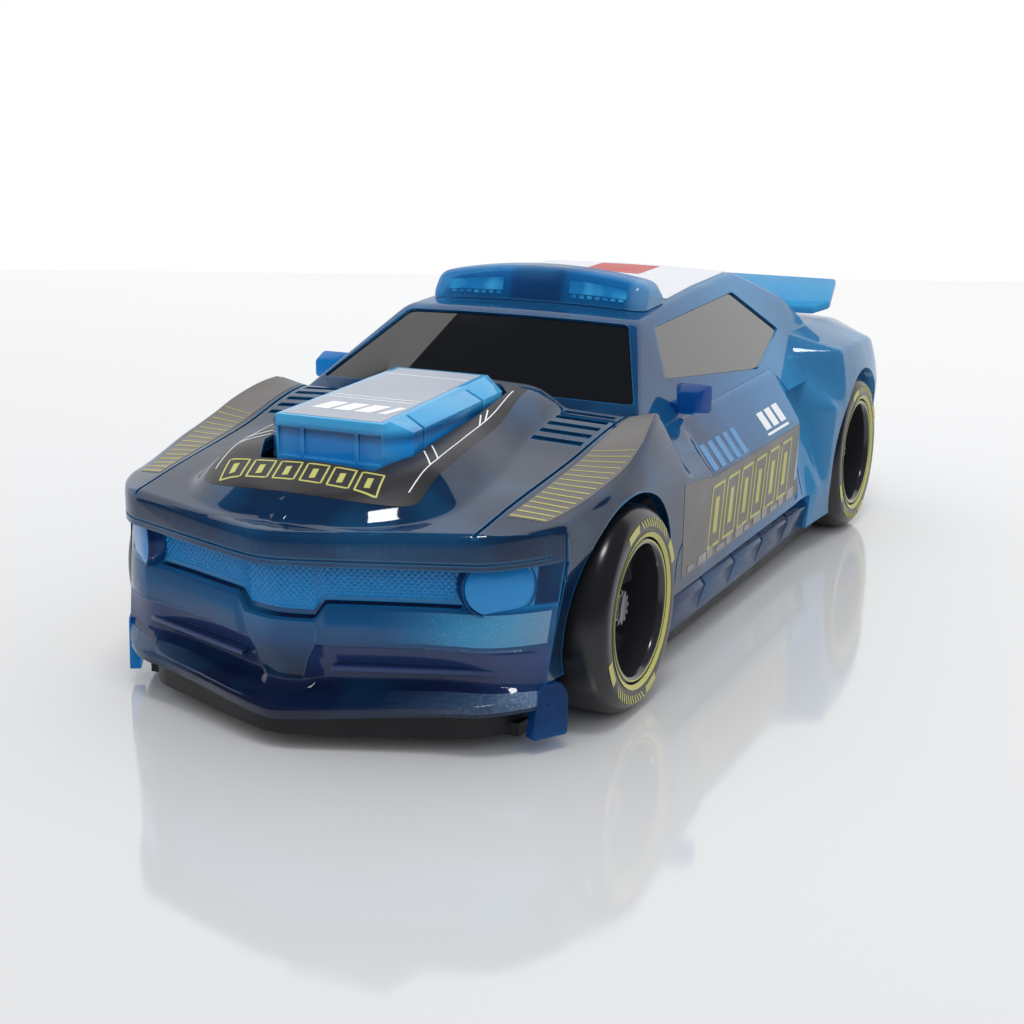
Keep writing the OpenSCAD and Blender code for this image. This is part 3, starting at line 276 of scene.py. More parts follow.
@dataclass(frozen=True)
class Film(Finish):
    """Printed film with a satin face."""

    roughness: float = 0.3
    mottle: float = 0.05
    grain: float = 0.04
    grain_mm: float = 0.4


@dataclass(frozen=True)
class Ink(Finish):
    """Pad-printed ink."""

    roughness: float = 0.4
    grain: float = 0.08
    grain_mm: float = 0.3


@dataclass(frozen=True)
class TableTop(Finish):
    """Polished table whose colour is painted paler away from the camera, standing in for the room's white
    light on it.
    """

    far_color: str = "#F0F0F0"
    near_mm: float = -260.0
    far_mm: float = 330.0

    def surface(self, tree: Tree) -> Node:
        """The finish, with its colour running along y: painted light, paler towards the back."""
        share = along(tree, Axis.ALONG, self.near_mm, self.far_mm)
        return self.principled(tree, blend(tree, share, linear(self.color), linear(self.far_color)))


@dataclass(frozen=True)
class LitSheet(Finish):
    """Evenly lit sheet."""

    def surface(self, tree: Tree) -> Node:
        """Light of the sheet's own colour."""
        return add_node(tree, "Emission", {"Color": linear(self.color), "Strength": 1.0})


# Injection-moulded tinted plastic of the body, with light and shade painted along it: navy in front for the
# shade over the dark works, azure towards the tail for light that comes through, and a paler painted sheen
# over the haunches.
CLEAR_BLUE = TintedPlastic(
    "injection_moulded_clear_blue", ior=1.7, pool=0.16, glow="#2A8CC8",
    stops=((-100.0, "#0F3458", 0.78), (-90.0, "#0D2A4A", 0.78), (-62.0, "#0B2440", 0.78),
           (-40.0, "#113254", 0.75), (-15.0, "#1A4C7A", 0.7), (0.0, "#266CA2", 0.65), (12.0, "#2F7DB4", 0.65),
           (38.0, "#48A0D4", 0.64), (58.0, "#4A8CBA", 0.6), (72.0, "#6FA0C0", 0.68), (86.0, "#4E8AB4", 0.65),
           (100.0, "#2F74A8", 0.65)),
)
# The bumper in the same plastic, with light and shade painted by height: a navy lip, intakes painted paler
# than their recess would show, brightest at the top edge for a painted sheen, and an azure band painted where
# light falls in from above.
BUMPER_BLUE = TintedPlastic(
    "bumper_clear_blue", axis=Axis.UP, edge=0.12, pool=0.06,
    stops=((4.0, "#0C1830", 0.85), (9.0, "#0E1B3A", 0.85), (10.2, "#22335E", 0.8), (14.6, "#384C80", 0.8),
           (16.2, "#194A78", 0.8), (19.5, "#1D5C90", 0.8), (21.4, "#1A5488", 0.8), (22.4, "#2184C4", 0.8),
           (28.0, "#1F8ED0", 0.8)),
)
# The same plastic in small open mouldings, painted bright azure for the light that passes them from all
# sides.
BRIGHT_BLUE = TintedPlastic(
    "thin_moulded_clear_blue", glow="#63C4EE",
    stops=((-100.0, "#1F80C0", 0.5), (-40.0, "#2E96D2", 0.55), (70.0, "#45ACDC", 0.6)),
)
# Scoop in the same plastic, with light and shade painted by height: a painted shadow at its foot, painted
# light below and on top, and a band of painted shadow under the top's front edge.
SCOOP_BLUE = TintedPlastic(
    "scoop_clear_blue", glow="#63C4EE", axis=Axis.UP, edge=0.5,
    stops=((36.0, "#124E86", 0.85), (38.4, "#1F80CC", 0.86), (41.8, "#2490E0", 0.86), (43.1, "#155A96", 0.8),
           (43.7, "#2280C2", 0.82), (44.4, "#46B0EA", 0.82), (47.0, "#50B8EE", 0.82)),
)
# Beak of the bumper: teal painted where light comes through from behind, darker towards its foot.
CHIN_BLUE = TintedPlastic(
    "chin_clear_blue", axis=Axis.UP, edge=0.2,
    stops=((9.5, "#0C1830", 0.8), (11.5, "#10284C", 0.8), (14.0, "#113A62", 0.8), (16.5, "#174E82", 0.8),
           (19.4, "#1A5A90", 0.8)),
)
# Light bar in the same plastic: azure painted over the two lamp bowls for the light they throw back, navy
# painted between them where it is dark behind, paler at the left end.
BAR_BLUE = TintedPlastic(
    "light_bar_clear_blue", axis=Axis.ACROSS, glow="#63B4E6", edge=0.5,
    stops=((-21.0, "#2E7FBA", 0.5), (-17.0, "#1F74B0", 0.45), (-6.0, "#1F74B0", 0.45), (-4.5, "#184A7C", 0.6),
           (4.5, "#184A7C", 0.6), (6.0, "#1F78B6", 0.45), (17.0, "#2080BE", 0.45), (18.5, "#5D97C4", 0.6),
           (21.0, "#6FA6CE", 0.6)),
)
# Corners beside the headlights: navy, as thick as the brow.
BROW_BLUE = TintedPlastic(
    "corner_clear_blue", ior=1.35, edge=0.2, pool=0.15,
    stops=((-100.0, "#0F2F56", 0.9), (0.0, "#0F2F56", 0.9)),
)
# Low mouldings of the same plastic, painted navy for the car's own shade on them.
DEEP_BLUE = TintedPlastic(
    "shaded_moulded_clear_blue", stops=((-60.0, "#122F60", 0.5), (60.0, "#1C4478", 0.6))
)
# Small mouldings that stand clear of the body: azure against a white ground, navy against the dark body.
OPEN_BLUE = TintedPlastic(
    "open_moulded_clear_blue", "#61C8FA", edge=0.4, pool=0.1,
    stops=((-100.0, "#12407E", 0.35), (60.0, "#123A78", 0.35)),
)
# Lens optics of the light bar: bright azure painted where the lamp bowls show, with small painted pools of
# light.
OPTIC_BLUE = TintedPlastic(
    "moulded_optic_clear_blue", roughness=0.08, axis=Axis.UP, edge=0.0, glow="#4FC0F4", pool=0.6, pool_mm=4.0,
    stops=((53.0, "#145C98", 0.8), (56.0, "#1C84C8", 0.85), (60.0, "#1670B0", 0.8)),
)
# Lamp lenses and grille in front: the same plastic, painted bright azure for the light that comes through it.
LENS_BLUE = TintedPlastic(
    "lens_clear_blue", roughness=0.04, axis=Axis.UP, edge=0.25, pool=0.1,
    stops=((20.0, "#249CE6", 0.8), (25.5, "#1F92DC", 0.8), (28.0, "#1A7CC0", 0.8)),
)
# Sand-blasted patches of the bumper mould: a dull grained face whose pale speckle is painted sparkle of
# light, fading out to the middle.
FROSTED_BLUE = FrostedPlastic(
    "sand_blasted_clear_blue", roughness=0.42, mottle=0.15, grain=0.8, pool=0.45,
    stops=((-36.0, "#6F90B4", 0.7), (-30.0, "#4F78A4", 0.3), (-14.0, "#2C5C8E", 0.0), (14.0, "#2C5C8E", 0.0),
           (30.0, "#4F78A4", 0.3), (36.0, "#6F90B4", 0.7)),
)
# Upper face of the bumper, with light painted across the car: azure on the left for light that comes through
# the wall, paler at both ends for a painted sheen, with a fine pale speckle of painted sparkle.
FASCIA_BLUE = FrostedPlastic(
    "lit_fascia_clear_blue", roughness=0.2, mottle=0.08, grain=0.4, pool=0.12,
    stops=((-36.6, "#5C7FA8", 0.5), (-14.0, "#2C5C8E", 0.0), (13.2, "#2C6CA0", 0.0), (19.0, "#2A80B8", 0.45),
           (26.0, "#3C9ACC", 0.72), (32.0, "#58A2CC", 0.72), (36.6, "#7FA4C2", 0.68)),
)
# Step under the grille: painted near black with a violet cast, for the shade under the grille band.
DARK_BLUE = TintedPlastic(
    "dark_step_clear_blue", roughness=0.1, ior=1.49, edge=0.0, axis=Axis.ACROSS,
    stops=((-30.0, "#14162E", 0.8), (30.0, "#14162E", 0.8)),
)
# Polished black moulding behind the window openings: mirrors the room.
GLOSS_BLACK = Finish("polished_black_plastic", "#0A0B0E", 0.05, mottle=0.02, coat=0.7, grain=0.005)
# Gloss black of the rims, with softer highlights than the windows.
RIM_BLACK = Finish("gloss_black_rim_plastic", "#2C2D31", 0.2, mottle=0.04, coat=0.6, grain=0.02)
# Matte black moulding of the base plate.
MATTE_BLACK = Finish("textured_black_plastic", "#16171A", 0.5, grain=0.25, grain_mm=0.5)
# Moulded rubber: black on the tread, with a pale sheen where a side wall is seen at a low angle.
RUBBER = Finish("moulded_rubber", "#1D1D20", 0.26, grain=0.1, grain_mm=0.35, specular=0.6)
# Printed films: charcoal on the hood, warm grey on the flanks, silver grey on the scoop, white on the roof.
DARK_FILM = Film("printed_charcoal_film", "#29282C", 0.4, grain=0.05)
GREY_FILM = Film("printed_grey_film", "#66625F", 0.36, grain=0.05)
PALE_FILM = Film("printed_pale_film", "#9EA6B2")
WHITE_FILM = Film("printed_white_film", "#DADDE2")
# Pad-printed inks: yellow green and white, the pale blue of the door stripes, the red of the roof block.
YELLOW_INK = Ink("pad_printed_yellow", "#BDBB66")
WHITE_INK = Ink("pad_printed_white", "#EEF0F2")
STRIPE_INK = Ink("pad_printed_pale_blue", "#3F86BE", 0.3)
RED_INK = Ink("pad_printed_red", "#C2403A")
# Vacuum-metallised lamp bowls.
METALLISED = Finish("vacuum_metallised_plastic", "#C9DCEC", 0.12, metallic=0.9, grain=0.02)
# Cold-drawn and stamped steel.
STEEL = Finish("drawn_steel", "#B4B7BC", 0.28, metallic=1.0, grain=0.06)
# Shrink sleeve of the cells.
CELL_SLEEVE = Finish("printed_shrink_sleeve", "#8C7A35", 0.3, grain=0.05)
# Fibreglass board under green lacquer.
BOARD = Finish("solder_lacquered_board", "#1F6A3B", 0.35, grain=0.08, grain_mm=0.5)
# Extruded wire sleeve.
WIRE_SLEEVE = Finish("extruded_red_sleeve", "#A32420", 0.4, grain=0.05)
# Cast clear epoxy of the diodes.
EPOXY = Finish("cast_clear_epoxy", "#E4F0F8", 0.08, transmission=0.7, grain=0.01)
# Moulded light grey of the switch parts.
GREY_PLASTIC = Finish("moulded_grey_plastic", "#C9CBCD", 0.42, grain=0.1)
# Polished white table under the car, with painted light that makes it paler towards the back.
TABLE = TableTop("polished_white_table", "#CDCDCD", 0.08, mottle=0.02, grain=0.0, specular=1.0)
# Sheet of the light box behind it.
LIT_SHEET = LitSheet("lit_white_sheet", "#FFFFFF", 0.5)


# ---------------------------------------------------------------- surfaces

# Directions of an outline's two coordinates and of its carry, for prisms along x, y and z.
X_AXIS = np.array([[0, 1, 0], [0, 0, 1], [1, 0, 0]])
Y_AXIS = np.array([[1, 0, 0], [0, 0, 1], [0, 1, 0]])
Z_AXIS = np.array([[1, 0, 0], [0, 1, 0], [0, 0, 1]])


class Side(Enum):
    """Side of the car, as the sign of x."""

    LEFT = 1
    RIGHT = -1


def stacked(*coordinates: object) -> Array:
    """Points from coordinates that broadcast to one shape."""
    return np.stack(np.broadcast_arrays(*coordinates), axis=-1)


def rectangle(x0: float, y0: float, x1: float, y1: float) -> Array:
    """Corners of a rectangle between two opposite ones."""
    return np.array([[x0, y0], [x1, y0], [x1, y1], [x0, y1]], float)


def turns(steps: int) -> Array:
    """Angles of a full turn in equal steps."""
    return np.linspace(0, 2 * np.pi, steps + 1)[:-1]


def circle_of(radius: float, steps: int) -> Array:
    """Outline of a circle."""
    return radius * stacked(np.cos(turns(steps)), np.sin(turns(steps)))


@dataclass
class Surface:
    """Points in millimetres and faces of any size over them."""

    points: Array
    faces: list[Array] = field(default_factory=list)

    @staticmethod
    def tube(rings: Array, wrap: bool = False) -> "Surface":
        """Skins a row of closed rings: quads between neighbours, and a cap at each end or a closed loop.

        Args:
            rings: points of shape (rings, points in a ring, 3).
            wrap: joins the last ring to the first instead of capping both.

        Returns:
            A closed surface.
        """
        m, n, _ = rings.shape
        index = np.arange(m * n).reshape(m, n)
        here = index if wrap else index[:-1]
        there = np.roll(index, -1, axis=0) if wrap else index[1:]
        quads = stacked(here, np.roll(here, -1, axis=1), np.roll(there, -1, axis=1), there).reshape(-1, 4)
        caps = [] if wrap else [index[:1, ::-1], index[-1:]]
        return Surface(rings.reshape(-1, 3), [quads, *caps])

    @staticmethod
    def sweep(path: Array, section: Array) -> "Surface":
        """Carries a section along a path: offsets of shape (corners, 3), or of (path points, corners, 3)."""
        return Surface.tube(path[:, None] + np.asarray(section, float))

    @staticmethod
    def prism(
        outline: Array, axes: Array, start: float, end: float, origin: Sequence[float] = (0, 0, 0)
    ) -> "Surface":
        """Carries a flat outline along the third axis, from start to end.

        Args:
            outline: corners of shape (n, 2).
            axes: three rows, the directions of the outline's two coordinates and of the carry.
            start: first distance along the carry.
            end: last distance along the carry.
            origin: point where all three are zero.

        Returns:
            A closed surface.
        """
        flat = np.asarray(outline, float) @ np.asarray(axes, float)[:2]
        ends = np.array([start, end], float)[:, None, None] * np.asarray(axes, float)[2]
        return Surface.tube(flat[None] + ends + np.asarray(origin, float))

    @staticmethod
    def plate(grid: Array, lift: float = 0.05, sink: float = 0.04) -> "Surface":
        """Thickens a grid along its normals, which are the cross products of its two directions.

        Args:
            grid: points of shape (rows, columns, 3).
            lift: height of the outer face over the grid.
            sink: depth of the inner face under the grid.

        Returns:
            A closed thin surface.
        """
        across = np.cross(np.gradient(grid, axis=0), np.gradient(grid, axis=1))
        normal = across / np.maximum(np.linalg.norm(across, axis=-1, keepdims=True), 1e-9)
        return Surface.tube(np.concatenate([grid + lift * normal, (grid - sink * normal)[:, ::-1]], axis=1))

    @staticmethod
    def merge(parts: Sequence["Surface"]) -> "Surface":
        """Puts several surfaces into one, each with its own points."""
        starts = np.cumsum([0, *(len(part.points) for part in parts)])
        faces = [f + start for part, start in zip(parts, starts) for f in part.faces]
        return Surface(np.concatenate([part.points for part in parts]), faces)

    def mirrored(self) -> "Surface":
        """The same surface on the other side of the car, with its faces turned to stay outward."""
        return Surface(self.points * [-1, 1, 1], [f[:, ::-1] for f in self.faces])

    def on(self, side: Side) -> "Surface":
        """A left-hand surface on either side of the car."""
        return self if side is Side.LEFT else self.mirrored()

    def both(self) -> "Surface":
        """A left-hand surface together with its mirror image."""
        return Surface.merge([self, self.mirrored()])

    def volume(self) -> float:
        """Signed volume: fans each face from its first corner and adds up the tetrahedra to the origin."""
        total = 0.0
        for f in self.faces:
            a, b, c = self.points[f[:, :1]], self.points[f[:, 1:-1]], self.points[f[:, 2:]]
            total += float(np.sum(a * np.cross(b, c))) / 6
        return total

    def piece(self, name: str, finish: Finish, sharp: float = 32.0) -> bpy.types.Object:
        """Makes a mesh object at the origin with outward faces and edges sharp over an angle.

        Args:
            name: name of the object.
            finish: finish of all faces.
            sharp: angle in degrees over which an edge shades sharp.

        Returns:
            The object, linked to the scene.
        """
        faces = self.faces if self.volume() >= 0 else [f[:, ::-1] for f in self.faces]
        corners = np.concatenate([f.ravel() for f in faces]).astype(np.int32)
        sizes = np.concatenate([np.full(len(f), f.shape[1]) for f in faces])
        starts = np.concatenate([[0], np.cumsum(sizes)[:-1]]).astype(np.int32)
        mesh = bpy.data.meshes.new(name)
        mesh.vertices.add(len(self.points))
        mesh.vertices.foreach_set("co", (self.points * MM).astype(np.float32).ravel())
        mesh.loops.add(len(corners))
        mesh.loops.foreach_set("vertex_index", corners)
        mesh.polygons.add(len(sizes))
        mesh.polygons.foreach_set("loop_start", starts)
        mesh.update(calc_edges=True)
        mesh.materials.append(finish.material)
        made = bpy.data.objects.new(name, mesh)
        bpy.context.scene.collection.objects.link(made)
        shade(made, sharp)
        return made


def pairs(tools: Sequence[Surface]) -> list[Surface]:
    """Each left-hand tool, followed by its mirror image."""
    return [tool for one in tools for tool in (one, one.mirrored())]


def shade(piece: bpy.types.Object, sharp: float) -> None:
    """Shades a piece smooth, except over edges that turn by more than an angle in degrees."""
    mesh = piece.data
    mesh.polygons.foreach_set("use_smooth", np.ones(len(mesh.polygons), bool))
    mesh.set_sharp_from_angle(angle=math.radians(sharp))


def round_corners(lines: Array, reach: Sequence[float], bend: int = 6, flat: int = 4) -> Array:
    """Rounds the inner corners of many polylines at once.

    Each corner becomes a quadratic curve that leaves both edges at the reach from the corner, or at just
    under half of an edge where that is nearer. Straight runs keep a few points of their own.

    Args:
        lines: corners of shape (lines, corners, coordinates).
        reach: one distance for each corner, of which the first and last aren't used.
        bend: points on each curve.
        flat: points inside each straight run.

    Returns:
        Points of shape (lines, points, coordinates).
    """
    here = lines[:, 1:-1]
    limit = np.asarray(reach, float)[1:-1, None]

    def toward(end: Array) -> Array:
        """Point on the edge to a neighbour at the reach."""
        size = np.maximum(np.linalg.norm(end - here, axis=-1, keepdims=True), 1e-9)
        return here + (end - here) * np.minimum(limit / size, 0.49)

    leave, meet = toward(lines[:, :-2]), toward(lines[:, 2:])
    t = np.linspace(0, 1, bend)[:, None]
    curve = (1 - t) ** 2 * leave[:, :, None] + 2 * t * (1 - t) * here[:, :, None] + t**2 * meet[:, :, None]
    start = np.concatenate([lines[:, :1], meet], axis=1)
    end = np.concatenate([leave, lines[:, -1:]], axis=1)
    s = np.linspace(0, 1, flat + 2)[1:-1, None]
    run = start[:, :, None] + (end - start)[:, :, None] * s
    inner = np.concatenate([run[:, :-1], curve], axis=2).reshape(len(lines), -1, lines.shape[-1])
    return np.concatenate([lines[:, :1], inner, run[:, -1], lines[:, -1:]], axis=1)


def rings_of(outlines: Array, reach: object, bend: int = 5, flat: int = 1) -> Array:
    """Many closed outlines with rounded corners, each starting in the middle of its last edge.

    Args:
        outlines: corners of shape (outlines, corners, coordinates).
        reach: one distance for all corners, or one for each.
        bend: points on each curve.
        flat: points inside each straight run.

    Returns:
        Points of shape (outlines, points, coordinates).
    """
    seam = 0.5 * (outlines[:, -1:] + outlines[:, :1])
    reaches = [0, *np.broadcast_to(reach, outlines.shape[1]), 0]
    return round_corners(np.concatenate([seam, outlines, seam], axis=1), reaches, bend, flat)[:, :-1]


def ring_of(outline: Rows, reach: float, bend: int = 5, flat: int = 1) -> Array:
    """One closed outline with all its corners rounded by one reach."""
    return rings_of(np.asarray(outline, float)[None], reach, bend, flat)[0]


class Cut(Enum):
    """How a tool changes a piece."""

    TAKE = "DIFFERENCE"
    JOIN = "UNION"


Tool = Union[Surface, bpy.types.Object]


def carve(piece: bpy.types.Object, tools: Sequence[Tool], how: Cut = Cut.TAKE, sharp: float = 32.0) -> None:
    """Cuts or joins a piece with closed tools, one after the other, and keeps the result as its mesh.

    Args:
        piece: object to change.
        tools: closed surfaces or objects, which are used up.
        how: what the tools do.
        sharp: angle in degrees over which an edge shades sharp.
    """
    helpers = [tool.piece("tool", CLEAR_BLUE) if isinstance(tool, Surface) else tool for tool in tools]
    for helper in helpers:
        helper.data.materials[0] = piece.data.materials[0]
        step = piece.modifiers.new("carve", "BOOLEAN")
        step.operation = how.value
        step.solver = "MANIFOLD"
        step.object = helper
    bake(piece)
    for helper in helpers:
        mesh = helper.data
        bpy.data.objects.remove(helper)
        bpy.data.meshes.remove(mesh)
    shade(piece, sharp)


def bake(piece: bpy.types.Object) -> None:
    """Replaces a piece's mesh by the one that its modifiers make, and drops the modifiers."""
    graph = bpy.context.evaluated_depsgraph_get()
    mesh = bpy.data.meshes.new_from_object(piece.evaluated_get(graph), depsgraph=graph)
    old = piece.data
    piece.modifiers.clear()
    piece.data = mesh
    mesh.name = piece.name
    bpy.data.meshes.remove(old)


def soften(piece: bpy.types.Object, width: float, sharp: float = 40.0) -> None:
    """Rounds the edges of a piece with a bevel of three segments, as a mould would."""
    step = piece.modifiers.new("soften", "BEVEL")
    step.width = width * MM
    step.segments = 3
    step.limit_method = "ANGLE"
    step.angle_limit = math.radians(30)
    bake(piece)
    shade(piece, sharp)


def dress(piece: bpy.types.Object, body: str, slot: Optional[str] = None, *nodes: str) -> None:
    """Gives a piece its body and hides the CAD nodes that it stands for.

    Args:
        piece: new object.
        body: CAD body that it moves with.
        slot: material slot of the record, if it has one; not used.
        *nodes: CAD nodes that it replaces.
    """
    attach(piece, body)
    if nodes:
        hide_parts(*nodes)
    LOG.info("%s: %d faces on %s", piece.name, len(piece.data.polygons), body)


# ---------------------------------------------------------------- form of the body


@dataclass(frozen=True)
class Rail:
    """A character line of the body: rows of y, half width and height, front to rear."""

    rows: tuple

    def at(self, y: Array) -> Array:
        """Half width and height at y: a cubic whose slopes are harmonic means, so it never overshoots."""
        table = np.asarray(self.rows, float)
        step = np.diff(table[:, 0])
        chord = np.diff(table[:, 1:], axis=0) / step[:, None]
        product = chord[:-1] * chord[1:]
        total = np.where(product > 0, chord[:-1] + chord[1:], 1)
        inner = np.where(product > 0, 2 * product / total, 0)
        slope = np.concatenate([chord[:1], inner, chord[-1:]])
        i = np.clip(np.searchsorted(table[:, 0], y, side="right") - 1, 0, len(step) - 1)
        s = np.clip((y - table[i, 0]) / step[i], 0, 1)[..., None]
        h = step[i][..., None]
        return (
            (2 * s**3 - 3 * s**2 + 1) * table[i, 1:]
            + (s**3 - 2 * s**2 + s) * h * slope[i]
            + (3 * s**2 - 2 * s**3) * table[i + 1, 1:]
            + (s**3 - s**2) * h * slope[i + 1]
        )


@dataclass(frozen=True)
class BodyForm:
    """Outer form of the body in the CAD's frame: x to the left, y to the rear, z up, in millimetres."""

    nose_y: float = -100.0
    tail_y: float = 100.0
    front_y: float = -60.0
    rear_y: float = 67.0
    fender: float = 41.0
    door: float = 39.5
    haunch: float = 43.0
    roof: float = 22.0
    hood: float = 28.5
    bulge: float = 21.0
    sill_z: float = 4.5
    nose_z: float = 31.5
    cowl_z: float = 41.5
    shoulder_z: float = 29.0
    roof_z: float = 54.5
    crown: float = 0.8
    deck_z: float = 42.5
    bulge_h: float = 5.0
    rake: float = 0.38
    blunt: float = 1.2
    corner_bend: float = 0.091
    brow_h: float = 3.4
    wall: float = 1.8
    crease_x: float = 37.5
    lean: float = 0.19
    # Windscreen: its foot behind the front axle, its run, and how far it sinks under the cowl.
    screen_behind: float = 22.0
    screen_run: float = 23.5
    screen_sink: float = 2.4
    # Rear screen: its start ahead of the rear axle, its run, and its drop. Start of the haunches, likewise.
    back_ahead: float = 24.0
    back_run: float = 18.0
    back_drop: float = 6.5
    haunch_ahead: float = 26.0
    # Half width of tools that reach past both sides.
    past: float = 60.0

    # Reach of each corner's rounding in a half section, and the points on a curve and on a straight run.
    REACH = (0.0, 1.6, 1.0, 2.5, 1.0, 0.6, 1.2, 1.4, 2.2, 4.0)
    BEND = 6
    FLAT = 6

    def bow(self, x: Array) -> Array:
        """How far the nose edge lies behind its point at x: a hyperbola, bent back past the hood."""
        bend = self.corner_bend * np.maximum(0, np.abs(x) - self.hood + 0.5) ** 2
        return np.sqrt(self.blunt**2 + self.rake**2 * np.square(x)) - self.blunt + bend

    @cached_property
    def crease_y(self) -> float:
        """Where the front corner's crease meets the brow."""
        return self.nose_y + float(self.bow(np.array(self.crease_x)))

    @property
    def brow_z(self) -> float:
        """Underside of the hood's brow."""
        return self.nose_z - self.brow_h

    @property
    def tip(self) -> float:
        """Front tip of the hood bulge."""
        return self.nose_y + 4

    @property
    def haunch_y(self) -> float:
        """Where the haunches start."""
        return self.rear_y - self.haunch_ahead

    @property
    def header_z(self) -> float:
        """Roof edge over the windscreen."""
        return self.roof_z - 1.6

    @property
    def ear_z(self) -> float:
        """Roof edge at the rear."""
        return self.roof_z + 0.8

    @property
    def screen_foot(self) -> tuple[float, float]:
        """Foot of the windscreen, as y and z."""
        return self.front_y + self.screen_behind, self.cowl_z - self.screen_sink

    @property
    def screen_rise(self) -> float:
        """Height of the windscreen."""
        return self.header_z - self.cowl_z + self.screen_sink

    def crease_at(self, z: float) -> float:
        """Rear edge of the bumper at a height."""
        return self.crease_y - self.lean * (self.brow_z - z)

    def nose_path(self, x: Array, z: float) -> Array:
        """Points along the nose edge at a height."""
        return stacked(x, self.nose_y + self.bow(x), z)

    @cached_property
    def rails(self) -> list[Rail]:
        """Sill, low, shoulder, edge and seam lines."""
        n, t, fa, ra, c = self.nose_y, self.tail_y, self.front_y, self.rear_y, self.crease_y
        f, d, h, s, w = self.fender, self.door, self.haunch, self.hood, self.crease_x
        df, dr, b = fa + 23, ra - 36, self.haunch_y
        sz, nz, cz, hz, dz = self.sill_z, self.nose_z, self.cowl_z, self.shoulder_z, self.deck_z
        e = dz - 2.8
        sill = ((n - 1, 34, sz), (fa, f - 2.5, sz), (df, d - 1.5, sz), (b - 5, d - 1.5, sz),
                (b, h - 4, sz + 1), (ra, h - 2, sz + 2), (ra + 22, h - 5, sz + 3), (t, h - 10, sz + 4))
        low = ((n - 1, 35, 12), (c + 0.5, w - 1.3, 12), (fa, f - 0.8, 12), (df, d - 0.3, 12),
               (b - 3, d - 0.5, 12), (b + 2, h - 2.4, 13), (ra, h - 1, 14), (ra + 22, h - 4, 14.5),
               (t, h - 9, 15))
        shoulder = ((n - 1, 35, 27), (c, w + 0.3, 28), (fa, f, hz + 4), (df + 12, f - 0.3, hz + 1),
                    (df + 15, d, hz), (dr - 1, d, hz), (dr + 4, d - 5, hz), (b + 3, d - 5, hz),
                    (b + 6.5, h - 0.9, hz), (ra, h, hz), (ra + 18, h - 2.2, hz - 0.5), (t, h - 8.5, hz - 1))
        edge = ((n - 1, 31, nz + 0.2), (n + 12, 33, nz + 1.3), (c + 1, w - 0.3, nz + 1.8),
                (fa, f - 2.5, nz + 5.2), (fa + 22, f - 5.6, cz + 0.7), (fa + 26, d - 5.5, cz - 3.5),
                (dr - 1, d - 6, cz - 3), (dr + 4, d - 9, cz - 3), (b + 7, d - 9, cz - 3),
                (b + 12, h - 1.9, e), (ra + 8, h - 2.6, e - 0.6), (ra + 25, h - 6, e - 3),
                (t, h - 11, e - 4.5))
        seam = ((n - 1, s - 1.5, nz + 0.3), (n + 10, s - 0.3, nz + 1.8), (c, s, nz + 3.6),
                (fa, s + 0.5, nz + 6), (fa + 22, s + 1.5, cz - 0.6), (fa + 28, s + 0.5, cz - 3),
                (dr, s - 1, cz - 2.6), (b + 7, s - 0.5, dz - 2.5), (b + 12, s + 1, dz), (ra + 8, s + 1, dz),
                (ra + 25, s, dz - 2), (t, s - 3, dz - 3))
        return [Rail(rows) for rows in (sill, low, shoulder, edge, seam)]

    def bulge_x(self, y: Array, width: Array, tip: float) -> Array:
        """Half width of the bulge at y: a quarter ellipse from its tip, then straight."""
        s = np.clip((y - tip) / 15, 0.0005, 1)
        return width * np.sqrt(1 - (1 - s) ** 2)

    def bump(self, y: Array) -> Array:
        """Height of the bulge over the hood."""
        h, tip, fa = self.bulge_h, self.tip, self.front_y
        rows = ((self.nose_y, 0, 0), (tip - 0.2, 0, 0), (tip + 1, 0, 0.2 * h), (tip + 3, 0, 0.52 * h),
                (tip + 8, 0, 0.78 * h), (tip + 16, 0, h), (fa + 13, 0, 0.86 * h), (fa + 26, 0, 0.55 * h),
                (fa + 40, 0, 0), (self.tail_y, 0, 0))
        return Rail(rows).at(y)[..., 1]

    def half(self, y: Array, inset: float) -> Array:
        """Half sections of the lower body, ten corners from the sill up to the middle.

        Args:
            y: stations.
            inset: how far the section is drawn in.

        Returns:
            Corners of shape (stations, 10, 2), as half width and height.
        """
        o, fa, tip = inset, self.front_y, self.tip
        sill, low, shoulder, edge, seam = (rail.at(y) for rail in self.rails)
        rise = self.bump(y)
        narrowing = Rail(((self.nose_y, 0, 0), (fa - 14, 0, 0), (fa + 8, 3, 0), (self.tail_y, 3, 0)))
        w = self.bulge - narrowing.at(y)[..., 0]
        steps = ((0, 0, 0.9, 0.0), (2, 1, 0.6, 0.5), (4.5, 3, 0.3, 0.94))
        top = []
        for less, back, more, share in steps:
            x = self.bulge_x(y, w - less, tip + back) + more
            top.append(stacked(x, seam[:, 1] + self.crown * (1 - (x / self.hood) ** 2) + share * rise - o))
        middle = stacked(0, seam[:, 1] + self.crown + 1.08 * rise - o)
        mid = stacked(0.62 * edge[:, 0] + 0.38 * shoulder[:, 0] + 0.5 - o,
                      0.55 * edge[:, 1] + 0.45 * shoulder[:, 1] - 0.3 * o)
        foot = stacked(sill[:, 0] - o, sill[:, 1] if o < 1 else -5.0)
        return np.stack([foot, low - [o, 0], shoulder - [o, 0], mid, edge - [o, 0.8 * o],
                         seam - [0.3 * o, o], *top, middle], axis=1)

